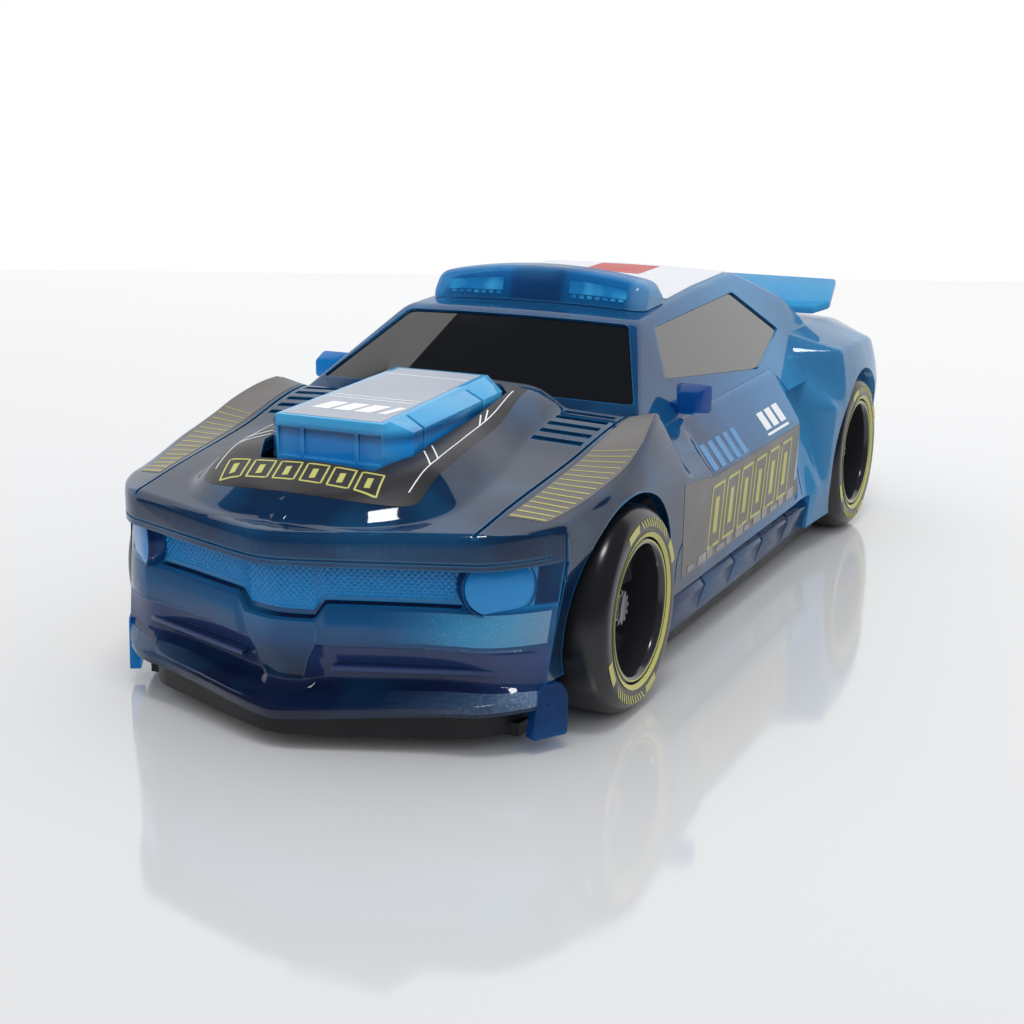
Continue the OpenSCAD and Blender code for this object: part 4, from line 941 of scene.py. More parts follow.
    def sections(self, y: Array, inset: float = 0.0) -> Array:
        """Whole rounded sections of the lower body.

        Args:
            y: stations.
            inset: how far the section is drawn in.

        Returns:
            Points of shape (stations, points in a section, 3), from the left sill over to the right one.
        """
        half = self.half(y, inset)
        ring = np.concatenate([half, half[:, -2::-1] * [-1, 1]], axis=1)
        line = round_corners(ring, [*self.REACH, *self.REACH[-2::-1]], self.BEND, self.FLAT)
        return stacked(line[..., 0], y[:, None], line[..., 1])

    def column(self, corner: int) -> int:
        """Number of the section point in the middle of a corner's curve."""
        return 1 + (corner - 1) * (self.FLAT + self.BEND) + self.FLAT + self.BEND // 2

    def skin(self, y: Array, corner: int, share: Array) -> Array:
        """Points on the left side's flat between a corner line and the next one.

        Args:
            y: stations.
            corner: number of the lower line.
            share: 0 at that line, 1 at the next.

        Returns:
            Points of the shape of y and share, with three coordinates.
        """
        y, share = np.broadcast_arrays(np.asarray(y, float), np.asarray(share, float))
        half = self.half(y.ravel(), 0.0)
        at = half[:, corner] + (half[:, corner + 1] - half[:, corner]) * share.ravel()[:, None]
        return stacked(at[:, 0], y.ravel(), at[:, 1]).reshape(*y.shape, 3)

    def hood_at(self, x: Array, y: Array) -> Array:
        """Points on the hood over a plan: each takes its height from the rounded section at its own y.

        Args:
            x: half widths, positive to the left.
            y: stations.

        Returns:
            Points of the shape of x and y, with three coordinates.
        """
        x, y = np.broadcast_arrays(np.asarray(x, float), np.asarray(y, float))
        line = self.sections(y.ravel())
        top = line[:, self.column(5) : line.shape[1] - self.column(5)]
        i = np.clip((top[..., 0] >= x.ravel()[:, None]).sum(axis=1), 1, top.shape[1] - 1)[:, None]
        a, b = (np.take_along_axis(top, (i - k)[..., None], axis=1)[:, 0] for k in (1, 0))
        share = np.clip((a[:, 0] - x.ravel()) / np.maximum(a[:, 0] - b[:, 0], 1e-9), 0, 1)
        z = a[:, 2] + (b[:, 2] - a[:, 2]) * share
        return stacked(x.ravel(), y.ravel(), z).reshape(*x.shape, 3)

    def side_x(self, z: Array) -> Array:
        """Half width of the plane that the upper doors and the cab share, at a height."""
        return self.door + (self.roof - self.door) * (z - self.shoulder_z) / (self.roof_z - self.shoulder_z)

    def cab(self, inset: float) -> Surface:
        """Closed cab between sloped screens: straight pillars, rounded along the roof edges and the header.

        Args:
            inset: how far the form is drawn in.

        Returns:
            The surface.
        """
        o, fa, ra, head, ear = inset, self.front_y, self.rear_y, self.header_z, self.ear_z
        (foot_y, foot_z), back = self.screen_foot, ra - self.back_ahead
        y = np.array([foot_y, foot_y + self.screen_run + 0.27 * o, fa + 60, fa + 80, back - 0.18 * o,
                      back + self.back_run - 0.8 * o, ra + 2 - 1.3 * o])
        sink = o * math.hypot(1, self.screen_rise / self.screen_run)
        top = np.array([foot_z - sink, head - o, head + 0.8 - o, head + 1.8 - o, ear - o,
                        ear - self.back_drop - o, self.deck_z - 3 - o])
        rise = np.array([0.3, 0.7 * self.crown, self.crown, self.crown, 0.8 * self.crown, 0.3, 0.3])
        base = np.minimum(self.shoulder_z + 5, top - 1)
        lean = math.hypot(1, (self.door - self.roof) / (self.roof_z - self.shoulder_z))
        low, high = (self.side_x(z) - 0.5 - o * lean for z in (base, top))
        half = np.stack([stacked(low, y, base), stacked(high, y, top),
                         stacked(0.5 * high, y, top + 0.75 * rise), stacked(0, y, top + rise)], axis=1)
        ring = np.concatenate([half, half[:, -2::-1] * [-1, 1, 1]], axis=1)
        lines = round_corners(ring.transpose(1, 0, 2), [0, 1.6, 4, 4, 2.5, 2, 0], 6, 3).transpose(1, 0, 2)
        return Surface.tube(round_corners(lines, [0, 1.3, 4, 6, 4, 1.3, 0], 6, 3))

    def lower(self, inset: float) -> Surface:
        """Closed lower body, with stations close together at the nose and where the haunches start."""
        n, fa, b = self.nose_y, self.front_y, self.haunch_y
        ends = (n - 1, n + 24, fa + 20, fa + 32, b - 12, b + 14, self.tail_y - inset)
        counts = (101, 60, 41, 50, 81, 60)
        runs = [np.linspace(start, end, count)[:-1] for start, end, count in zip(ends, ends[1:], counts)]
        return Surface.tube(self.sections(np.concatenate([*runs, ends[-1:]]), inset))

    def ahead(self, inset: float) -> Surface:
        """Space ahead of the nose over the brow."""
        w, p, x = self.crease_x, self.past, np.linspace(-self.crease_x, self.crease_x, 121)
        side, front = self.crease_y - 0.3, self.nose_y - 30
        edge = stacked(x, self.nose_y + self.bow(x) + inset)
        rest = [[w, side], [p, side], [p, front], [-p, front], [-p, side], [-w, side]]
        return Surface.prism(np.concatenate([edge, rest]), Z_AXIS, self.brow_z - 3, self.brow_z + 37)

    def behind(self, inset: float) -> Surface:
        """Space behind the tail: a lip over the lamp panel, the bumper, and the raised lower edge."""
        d, t = self.deck_z, self.tail_y
        line = np.array([[0, 80], [0, d - 6.5], [4.5, d - 8.5], [5.5, 22],
                         [1.6, 19], [1.2, 10], [7, 3], [7, -10]])
        edge = stacked(t - inset - line[:, 0], line[:, 1])
        outline = np.concatenate([edge, [[t + 20, -10], [t + 20, 80]]])
        return Surface.prism(outline, X_AXIS, -self.past, self.past)

    def pane(
        self, run: float, rise: float, low: Sequence[float], high: Sequence[float], foot: tuple
    ) -> Surface:
        """Tool for a window in a sloped screen.

        Args:
            run: length of the screen in plan.
            rise: how far it rises over that length.
            low: half width of the window's front edge, and its distance from the screen's front end.
            high: half width of its rear edge, and its distance from the screen's rear end.
            foot: y and z of the screen's front end.

        Returns:
            A closed tool through the wall.
        """
        size = math.hypot(run, rise)
        up = np.array([0, run / size, rise / size])
        axes = np.array([[1, 0, 0], up, np.cross([1, 0, 0], up)])
        (a, start), (b, end) = low, (high[0], size - high[1])
        outline = ring_of([[-a, start], [a, start], [b, end], [-b, end]], 1.2)
        return Surface.prism(outline, axes, -4, 4, (0, *foot))

    def windows(self) -> list[Surface]:
        """Tools for the windscreen, the rear window and the side windows."""
        fa, ra, r = self.front_y, self.rear_y, self.roof
        front = self.pane(self.screen_run, self.screen_rise, (29.3, 5.6), (r - 0.8, 1.2), self.screen_foot)
        back = (ra - self.back_ahead, self.ear_z + 0.8 * self.crown)
        rear = self.pane(self.back_run, -self.back_drop, (r - 4, 2.5), (r - 1.5, 2), back)
        corners = [[fa + 50.6, self.header_z - 1.6], [ra - 31.6, self.ear_z - 2.9],
                   [ra - 18.6, self.deck_z + 1.3], [ra - 40.3, self.cowl_z - 2.3],
                   [fa + 42.8, self.cowl_z + 2.2]]
        return [front, rear, *pairs([Surface.prism(ring_of(corners, 1.0), X_AXIS, 10, 70)])]


@dataclass(frozen=True)
class BodyShell:
    """The large clear-blue moulding: hood, fenders, doors, roof frame, haunches and tail."""

    form: BodyForm
    arch_r: float = 17.9
    arch_x: float = 27.0
    axle_z: float = 16.1
    groove_w: float = 0.55
    groove_d: float = 0.55
    louvre_w: float = 1.56
    louvre_step: float = 3.1
    skirt_z: float = 12.2
    skirt_end: float = 40.15
    fin_top: float = 10.4
    roll: float = 1.3
    roll_x: float = 37.0

    def groove(self, path: Array, across: Array, outward: Array) -> Surface:
        """A strip that cuts a line of the groove's width and depth along a path on the skin."""
        side = 0.5 * self.groove_w * across[..., None, :] * np.array([1, 1, -1, -1])[:, None]
        return Surface.sweep(path, side + outward * np.array([-self.groove_d, 3, 3, -self.groove_d])[:, None])

    def hood_seam(self) -> Surface:
        """Seam between hood and fender on the left."""
        y = np.linspace(self.form.nose_y + 5.2, self.form.front_y + 24, 90)
        return self.groove(self.form.skin(y, 5, 0), np.array([1, 0, 0]), np.array([0, 0, 1]))

    def louvre(self, number: int) -> Surface:
        """One of six slots at the foot of the windscreen on the left, of which the rear three are deeper."""
        y = self.form.front_y + 7.8 + self.louvre_step * number
        w, depth = 0.5 * self.louvre_w, 0.5 if number < 3 else 1.0
        section = [[0, w, -depth], [0, w, 3], [0, -w, 3], [0, -w, -0.7 * depth]]
        return Surface.sweep(self.form.skin(y, 5, np.linspace(0.1, 0.92, 8)), section)

    def door_line(self, corners: Rows) -> Surface:
        """A gap on the left flank through corners given as y and z."""
        at = round_corners(np.asarray(corners, float)[None], [2.5] * len(corners), 8, 12)[0]
        half = self.form.half(at[:, 0], 0.0)
        z = np.clip(at[:, 1], half[:, 1, 1], half[:, 4, 1])
        above = (z[:, None] >= half[:, 1:4, 1]).sum(axis=1)[:, None, None]
        low, high = (np.take_along_axis(half, above + k, axis=1)[:, 0] for k in (0, 1))
        share = (z - low[:, 1]) / np.maximum(high[:, 1] - low[:, 1], 1e-6)
        path = stacked(low[:, 0] + (high[:, 0] - low[:, 0]) * share, at[:, 0], at[:, 1])
        run = np.gradient(path[:, 1:], axis=0)
        run /= np.linalg.norm(run, axis=1, keepdims=True)
        return self.groove(path, stacked(0, -run[:, 1], run[:, 0]), np.array([1, 0, 0]))

    def lines(self) -> list[Surface]:
        """All grooves of the skin, on both sides."""
        f = self.form
        fa, ra, z = f.front_y, f.rear_y, f.shoulder_z
        front = self.door_line([[fa + 37.4, z - 0.6], [fa + 21, 20], [fa + 21, 12.8]])
        rear = self.door_line([[ra - 34, 37], [ra - 30, z - 4], [f.haunch_y - 4, 12.8]])
        return pairs([self.hood_seam(), *(self.louvre(i) for i in range(6)), front, rear])

    def cuts(self) -> list[Surface]:
        """Openings of the shell: arches, windows, scoop, bumper, skirts and tail lamps."""
        f, p, top = self.form, self.form.past, self.fin_top + 0.15
        arches = [Surface.prism(circle_of(self.arch_r, 144), X_AXIS, self.arch_x, 67, (0, y, self.axle_z))
                  for y in (f.front_y, f.rear_y)]
        below = [[f.nose_y - 10, -10], [f.front_y - 8, -10], [f.front_y - 8, top],
                 [f.crease_at(self.fin_top), top], [f.crease_at(f.brow_z), f.brow_z],
                 [f.nose_y - 10, f.brow_z]]
        skirts = rectangle(f.front_y, -10, self.skirt_end, self.skirt_z)
        lamp = ring_of(rectangle(11, f.deck_z - 17, 27, f.deck_z - 12), 1.2)
        scoop = Surface.prism(Scoop.plan(0.6, 3.0), Z_AXIS, f.nose_z + 2, f.nose_z + 32)
        return [*pairs(arches), *f.windows(), scoop, Surface.prism(below, X_AXIS, -p, p),
                Surface.prism(skirts, X_AXIS, -p, p),
                *pairs([Surface.prism(lamp, Y_AXIS, f.tail_y - 6, f.tail_y - 1)])]

    def nose_roll(self) -> Surface:
        """Tool that rounds the hood's front edge: what lies outside a quarter circle along the bow."""
        f, radius = self.form, self.roll
        x = np.linspace(-self.roll_x, self.roll_x, 297)[:, None]
        t = radius * np.linspace(0, 1, 9)
        edge = f.nose_y + f.bow(x)
        y = np.minimum(edge + t, f.crease_y + 8)
        skin = f.hood_at(np.clip(x, -f.hood, f.hood), y)[..., 2]
        ridge = f.skin(y, 4, np.clip((37.3 - np.abs(x)) / 8.7, 0, 1))[..., 2]
        drop = radius - np.sqrt(radius**2 - (radius - t) ** 2)
        arc = stacked(x, edge + t, np.where(np.abs(x) > f.hood, ridge, skin) - drop)
        roof = arc[:, [0, -1]] * [1, 1, 0] + [0, 0, f.nose_z + 12]
        roof[:, 0, 1] -= 1.0
        foot = arc[:, :1] - [0, 1.0, 0]
        return Surface.tube(np.concatenate([arc, roof[:, ::-1], foot], axis=1))

    def lip_line(self, up: float, wide: float) -> Surface:
        """Fine groove along the front of the brow at a height over its underside."""
        path = self.form.nose_path(np.linspace(-36, 36, 121), self.form.brow_z + up)
        corners = ((-2, -0.7), (0.35, -0.5), (0.35, 0.5), (-2, 0.7))
        return Surface.sweep(path, [[0, y, z * wide] for y, z in corners])

    def build(self) -> None:
        """Lofts the outer and inner form, cuts the openings, and puts the shell in place."""
        f = self.form
        shell = f.lower(0.0).piece("body_shell_moulding", CLEAR_BLUE)
        carve(shell, [f.cab(0.0)], Cut.JOIN)
        carve(shell, [f.ahead(0.0), f.behind(0.0), self.nose_roll(), self.lip_line(1.0, 0.3), *self.lines()])
        hollow = f.lower(f.wall).piece("hollow", CLEAR_BLUE)
        carve(hollow, [f.cab(f.wall)], Cut.JOIN)
        carve(hollow, [f.ahead(f.wall), f.behind(f.wall)])
        carve(shell, [hollow])
        carve(shell, self.cuts())
        dress(shell, "car", "clear_blue", "body_shell")


@dataclass(frozen=True)
class Bumper:
    """Front bumper: brow band with grille, lamps, chin, lower intakes and lip."""

    form: BodyForm
    lip_z: float = 4.7
    grille_z: float = 22.0
    grille_back: float = 4.2
    end_x: float = 37.2
    thick: float = 2.4
    narrow: float = 0.065
    lean: float = 0.0019
    rise: float = 2.2
    blend: float = 1.4
    fit: float = 0.15
    mesh_x: float = 24.6
    mesh_pitch: float = 0.95
    mesh_h: float = 0.3
    lamp_x: float = 29.5
    lamp_z: float = 25.2
    lamp_turn: float = 42.0
    fin_turn: float = 31.0
    slat_drop: float = 10.4

    def rows(self) -> Array:
        """Profile rows: height and setback at the sides, the same and half width at the chin, lip rise."""
        lip, g, back, top = self.lip_z, self.grille_z, self.grille_back, self.form.brow_z - self.fit
        return np.array([[lip, 1.8, lip, 1.8, 3, 1], [lip + 1.6, 1.3, lip + 1.6, 1.3, 3, 1],
                         [lip + 3.8, 5.2, lip + 3.8, 5, 3, 0.6], [lip + 5, 6.6, lip + 5, 5.4, 3.2, 0.3],
                         [g - 6.9, 5.8, g - 8.6, 4.4, 4.6, 0], [g - 6.3, 3, g - 6.4, 3.8, 5.8, 0],
                         [g - 3.6, 2.6, g - 4.5, 3.4, 6.4, 0], [g - 0.5, 3.3, g - 2.8, 3.2, 6, 0],
                         [g + 0.2, back + 0.4, g - 2.1, back + 0.4, 5.4, 0], [top, back, top, back, 5.4, 0]])

    def front(self, x: Array, rows: Array) -> Array:
        """Points of the front face: the profile runs round the bow and changes to the chin's in the middle.

        Args:
            x: columns.
            rows: profile rows.

        Returns:
            Points of shape (columns, rows, 3).
        """
        f = self.form
        x = np.asarray(x, float)[:, None]
        k = np.clip((rows[:, 4] + self.blend - np.abs(x)) / self.blend, 0, 1)
        e = (np.abs(x) / self.end_x) ** 6
        z = rows[:, 0] + k * (rows[:, 2] - rows[:, 0]) + rows[:, 5] * self.rise * np.abs(x) / self.end_x
        drop = f.brow_z - z
        d = (rows[:, 1] + k * (rows[:, 3] - rows[:, 1])) * (1 - e) - e * f.lean * drop - self.fit
        return stacked(x * (1 - self.lean * drop), f.nose_y + f.bow(x * f.crease_x / self.end_x) + d, z)

    def patch(self, x: Array, share: Array, pair: int) -> Array:
        """Points of the front face between a profile row and the next.

        Args:
            x: columns.
            share: 0 at the lower row, 1 at the upper.
            pair: number of the lower row.

        Returns:
            Points of shape (columns, steps, 3).
        """
        ends = self.front(x, self.rows()[pair : pair + 2])
        return ends[:, :1] + (ends[:, 1:] - ends[:, :1]) * share[:, None]

    def panel(self) -> Surface:
        """The whole band as a closed wall."""
        x = np.linspace(-self.end_x, self.end_x, 301)
        reach = [0, 0.5, 0.5, 0.4, 0.3, 0.3, 1.2, 0.35, 0.2, 0]
        front = round_corners(self.front(x, self.rows()), reach, 6, 4)
        e = np.broadcast_to((np.abs(x[:, None]) / self.end_x) ** 6, front.shape[:2])
        back = front * [1 - self.narrow, 1, 1] + stacked(0, self.thick * (1 - e), 0)
        return Surface.tube(np.concatenate([front, back[:, ::-1]], axis=1))

    def mesh(self) -> Surface:
        """Grille mesh: a thin sheet on the band whose height is the larger of two crossed sets of ridges."""
        x = np.linspace(-self.mesh_x, self.mesh_x, 421)
        grid = self.patch(x, np.linspace(0.1, 0.99, 48), 8)
        foot = self.front(x, self.rows()[8:9])[:, 0]
        run = np.cumsum(np.concatenate([[0], np.linalg.norm(np.diff(foot, axis=0), axis=1)]))[:, None]
        up = grid[..., 2]
        crossed = np.stack([run + up, run - up]) / self.mesh_pitch
        ridges = np.clip(1.6 * np.abs(np.mod(crossed, 1) - 0.5) * 2 - 0.9, 0, 1)
        skin = grid - stacked(0, self.mesh_h * ridges.max(axis=0) + 0.05, 0)
        return Surface.tube(np.concatenate([skin, (grid + [0, 0.1, 0])[:, ::-1]], axis=1))

    def lamp(self, profile: Rows) -> Surface:
        """A ring profile carried round the left headlight's stadium outline, cut flat under the brow."""
        f, a, at, turn = self.form, math.radians(self.lamp_turn), self.lamp_x, turns(72)
        radius, out = np.asarray(profile, float).T[..., None]
        x, z = radius * np.cos(turn) + np.sign(np.cos(turn)), radius * np.sin(turn)
        base = np.array([at, f.nose_y + float(f.bow(np.array(at))) + self.grille_back + 0.2, self.lamp_z])
        side, face = np.array([math.cos(a), math.sin(a), 0]), np.array([math.sin(a), -math.cos(a), 0])
        points = base + x[..., None] * side + out[..., None] * face + z[..., None] * [0, 0, 1]
        points[..., 2] = np.minimum(points[..., 2], f.brow_z - self.fit)
        return Surface.tube(points)

    def fin(self) -> Surface:
        """Slanted end fin of the lip on the left."""
        a = math.radians(self.fin_turn)
        axes = np.array([[math.sin(a), math.cos(a), 0], [0, 0, 1], [math.cos(a), -math.sin(a), 0]])
        outline = ring_of([[0, 2.3], [6.2, 2.3], [6.2, 8.4], [4.9, 10.4], [1.2, 10.4]], 0.6)
        return Surface.prism(outline, axes, 0, 1.7, (33.4, self.form.crease_y - 4.8, 0))

    def slat(self) -> Surface:
        """Bar across the left lower intake: a rounded section along the bow."""
        path = self.form.nose_path(np.linspace(7.5, 30, 60), self.grille_z - self.slat_drop)
        outline = ring_of(rectangle(4.2, 0, 7.4, 0.9), 0.25)
        return Surface.sweep(path, stacked(0, outline[:, 0], outline[:, 1]))

    def beak(self) -> Surface:
        """Thin face on the chin, as wide in each row as the chin is there."""
        u = np.linspace(-1, 1, 60)
        lines = [self.front(u * (row[4] - 0.1), row[None])[:, 0] for row in self.rows()[3:8]]
        return Surface.plate(round_corners(np.stack(lines, axis=1), [0, 0.3, 0.3, 1.2, 0], 6, 4))

    def build(self) -> None:
        """Builds the band and its fittings."""
        panel = self.panel().piece("front_bumper_moulding", BUMPER_BLUE)
        carve(panel, pairs([self.slat()]), Cut.JOIN)
        dress(panel, "car", "clear_blue", "front_bumper")
        dress(self.mesh().piece("grille_mesh", LENS_BLUE, 50), "car", "clear_blue")
        lens = [[4.2, -1.0], [4.2, 0.9], [4.0, 1.3], [3.4, 1.55], [2.4, 1.75], [1.2, 1.85], [0.2, 1.88]]
        rim = [[4.6, -1.1], [4.6, 1.1], [4.5, 1.4], [4.3, 1.4], [4.22, 1.1], [4.22, 0.2]]
        # Thin faces laid over the band carry painted light and shade: light on the fascia faces and the chin,
        # sparkle on the lip ends and on the lit edge over the intakes, shade on the step under the grille.
        x, rows = np.linspace(13, 36.6, 90), self.rows()
        face = round_corners(self.front(x, rows[5:8]), [0, 1.2, 0], 8, 6)[:, 4:-1]
        lip = round_corners(self.front(x, rows[:3]), [0, 0.5, 0], 6, 5)[:, 3:-1]
        up = np.linspace(0, 1, 8)
        edge = self.patch(np.linspace(9, 34, 90), 0.02 + 0.14 * up, 5)
        step = self.patch(np.linspace(-25.5, 25.5, 240), np.linspace(0.45, 0.95, 5), 7)
        corner = self.patch(np.linspace(34.6, 37.1, 16), up, 8)
        frosted = Surface.merge([Surface.plate(lip), Surface.plate(edge)])
        for name, finish, surface in (
            ("headlight_lenses", LENS_BLUE, self.lamp(lens).both()),
            ("headlight_rims", DEEP_BLUE, self.lamp(rim).both()),
            ("lip_fins", OPEN_BLUE, self.fin().both()),
            ("frosted_patches", FROSTED_BLUE, frosted.both()),
            ("fascia_faces", FASCIA_BLUE, Surface.plate(face).both()),
            ("grille_step", DARK_BLUE, Surface.plate(step, 0.04)),
            ("lamp_corners", BROW_BLUE, Surface.plate(corner).both()),
            ("chin_face", CHIN_BLUE, self.beak()),
        ):
            dress(surface.piece(name, finish), "car", "clear_blue")


@dataclass(frozen=True)
class Scoop:
    """Hood scoop that is pressed as a button: an eight-sided cap with slits and two front panels."""

    form: BodyForm
    front_y: float = -81.0
    length: float = 38.0
    width: float = 24.0
    top_z: float = 45.4
    rise: float = 1.6
    bevel: float = 2.9
    bevel_h: float = 1.8
    slit: float = 0.7
    tab: float = 8.0
    margin: float = 0.9
    print_y: float = -75.5

    @classmethod
    def plan(cls, gap: float, ahead: float = 0.0) -> Array:
        """Eight corners of the scoop in plan, widened by a gap and drawn out ahead."""
        w, y0, y1 = 0.5 * cls.width + gap, cls.front_y - gap - ahead, cls.front_y + cls.length + gap
        side = y0 + 3.9 + 0.7 * ahead
        return np.array([[-w + 3, y0], [w - 3, y0], [w, side], [w, y1 - 3.9], [w - 3, y1], [-w + 3, y1],
                         [-w, y1 - 3.9], [-w, side]])

    @property
    def skirt(self) -> float:
        """Lower edge of the cap."""
        return self.form.nose_z + 3

    @property
    def top(self) -> tuple[float, float, float]:
        """Half width of the top face, and where it starts and ends along the car."""
        return (0.5 * self.width - self.bevel, self.front_y, self.front_y + self.length - 0.5 * self.bevel)

    def slope(self, x: Array, y: Array, z: float) -> Array:
        """Points over a plan on the plane that rises to the rear from a height at the front edge."""
        return stacked(x, y, z + self.rise * (y - self.front_y) / self.length)

    def mark(self, x: float, wide: float, y: float, deep: float) -> Surface:
        """A slanted printed block on the top."""
        t, u = np.linspace(0, 1, 5)[:, None], np.linspace(0, 1, 5)[None]
        grid = self.slope(x + wide * u + 0.25 * deep * t, y + deep * t, self.top_z)
        return Surface.plate(grid[::-1], 0.1, -0.03)

    def tools(self) -> list[Surface]:
        """Cuts of the cap: its hollow, the slits over both edges, and the panels in front."""
        z, half = self.top_z, 0.5 * self.width
        tools = [Surface.prism(self.plan(-2.2), Z_AXIS, self.skirt - 1, z - self.bevel_h - 1)]
        for share in (0.18, 0.7):
            y = self.front_y + share * self.length
            for start, low, high in ((half - 2.9, z - 2, z + 10), (half - 0.7, z - 5.5, z + 5)):
                box = rectangle(start, y, start + 8, y + self.slit)
                tools += pairs([Surface.prism(box, Z_AXIS, low, high)])
        foot, front = z - 6.2, self.front_y
        panels = (rectangle(x, foot, x + wide, foot + 4.4) for x, wide in ((-4.3, 8.6), (4.9, 3.8)))
        middle, side = (Surface.prism(box, Y_AXIS, front - 1, front + 0.63) for box in panels)
        return [*tools, middle, *pairs([side])]

    def stems(self) -> list[Surface]:
        """The stem on the switch plunger, and a tab under the hood in front and at the rear."""
        stems = [Surface.prism(circle_of(2, 32) + [0, -62], Z_AXIS, self.skirt - 0.4, self.top_z - 0.9)]
        for start, end in ((-86.4, -79.5), (-44.5, -40.6)):
            top = float(self.form.half(np.array([start]), 0.0)[0, -1, 1]) - self.form.wall - 0.5
            outline = rectangle(-0.5 * self.tab, start, 0.5 * self.tab, end)
            stems.append(Surface.prism(outline, Z_AXIS, self.skirt - 1, top))
        return stems

    def build(self) -> None:
        """Builds the cap, hollow from below, and the pale film on its top."""
        plan, (w, y0, y1) = self.plan(0.0), self.top
        top = np.array([[-w, y0], [w, y0], [w - 0.05, y0 + 2], [w - 0.75, y1 - 2], [w - 0.8, y1],
                        [-w + 0.8, y1], [-w + 0.75, y1 - 2], [-w + 0.05, y0 + 2]])
        rings = np.stack([stacked(*plan.T, self.skirt), self.slope(*plan.T, self.top_z - self.bevel_h),
                          self.slope(*top.T, self.top_z)])
        cap = Surface.tube(rings).piece("hood_scoop_cap", SCOOP_BLUE)
        carve(cap, self.tools())
        soften(cap, 0.28)
        for stem in self.stems():
            carve(cap, [stem], Cut.JOIN)
        dress(cap, "scoop_button", "clear_blue", "hood_scoop")
        y = np.linspace(y0 + self.margin, y1 - self.margin, 41)[:, None]
        wide = (w - self.margin) - 0.8 * (y - y0) / (y1 - y0)
        film = Surface.plate(self.slope(np.linspace(-1, 1, 25) * wide, y, self.top_z)[::-1], 0.05, 0.03)
        dress(film.piece("scoop_film", PALE_FILM), "scoop_button")
        blocks = ((-6.2, 2.8), (-2.6, 2.8), (1.0, 2.8), (5.2, 1.2))
        prints = [self.mark(x, size, self.print_y, 4.6) for x, size in blocks]
        prints += [self.mark(-7.4, 14.8, at, 0.25) for at in (-68.0, -66.4, -50.0)]
        dress(Surface.merge(prints).piece("scoop_prints", WHITE_INK), "scoop_button")


@dataclass(frozen=True)
class LightBar:
    """Hollow light bar across the roof, arched and with rounded ends."""

    form: BodyForm
    length: float = 42.0
    depth: float = 11.0
    height: float = 6.995
    drop: float = 2.2
    y: float = -2.0
    fit: float = 0.15
    wall: float = 1.2
    roll: float = 2.4
    tooth: float = 0.9
    tooth_step: float = 1.5

    def solid(self, inset: float) -> Surface:
        """A section carried across the roof: its top follows an arch, its ends close by quarter circles."""
        end, roll = 0.5 * self.length - inset, self.roll
        x = end * np.sin(np.linspace(-0.5 * np.pi, 0.5 * np.pi, 121))
        close = np.sqrt(np.clip(1 - (np.clip(np.abs(x) - (end - roll), 0, roll) / roll) ** 2, 0.02, 1))
        top = (self.height - inset - self.drop * (x / end) ** 2) - 1.4 * (1 - close)
        d = (0.5 * self.depth - inset) - 1.6 * (1 - close)
        corners = ((d, -3), (d, 2), (d - 1.4, top - 1.2), (d - 2.8, top), (-d + 2.4, top),
                   (-d + 1, top - 1.4), (-d, 1.4), (-d, -3))
        section = np.stack([stacked(*corner) for corner in corners], axis=1)
        line = round_corners(section, [0, 1.5, 1.2, 1.2, 1.2, 1.2, 1.5, 0], 6, 3)
        y, z = line[..., 0] + self.y, line[..., 1] + self.form.header_z + 0.2
        return Surface.tube(stacked(x[:, None], y, z))

    def front(self, start: float, end: float, low: float, high: float) -> Surface:
        """Thin raised patch on the front face, between two places across it and two shares of its height."""
        x, t = np.linspace(start, end, 24)[:, None], np.linspace(low, high, 6)[None]
        top = self.height - self.drop * (x / (0.5 * self.length)) ** 2
        grid = stacked(x, self.y - 0.5 * self.depth + t, self.form.header_z + 1.6 + t * (top - 2.8))
        return Surface.plate(grid, 0.05, 0.1)

    def optics(self) -> Surface:
        """Lamp fields on the front face, with a row of small teeth under each."""
        parts = [self.front(-17.6, -6.6, 0.28, 0.86), self.front(6.4, 17.4, 0.34, 0.9)]
        for start, end, low, high in ((-16.8, -7.5, 0.1, 0.24), (7.0, 16.5, 0.14, 0.3)):
            places = np.arange(start, end, self.tooth_step)
            parts += [self.front(x, x + self.tooth, low, high) for x in places]
        return Surface.merge(parts)

    def build(self) -> None:
        """Builds the hollow bar, trimmed to the roof, and its lens optics."""
        bar = self.solid(0.0).piece("light_bar_lens", BAR_BLUE)
        carve(bar, [self.solid(self.wall), self.form.cab(-self.fit)])
        dress(bar, "car", "clear_blue", "light_bar")
        dress(self.optics().piece("light_bar_optics", OPTIC_BLUE), "car", "clear_blue")


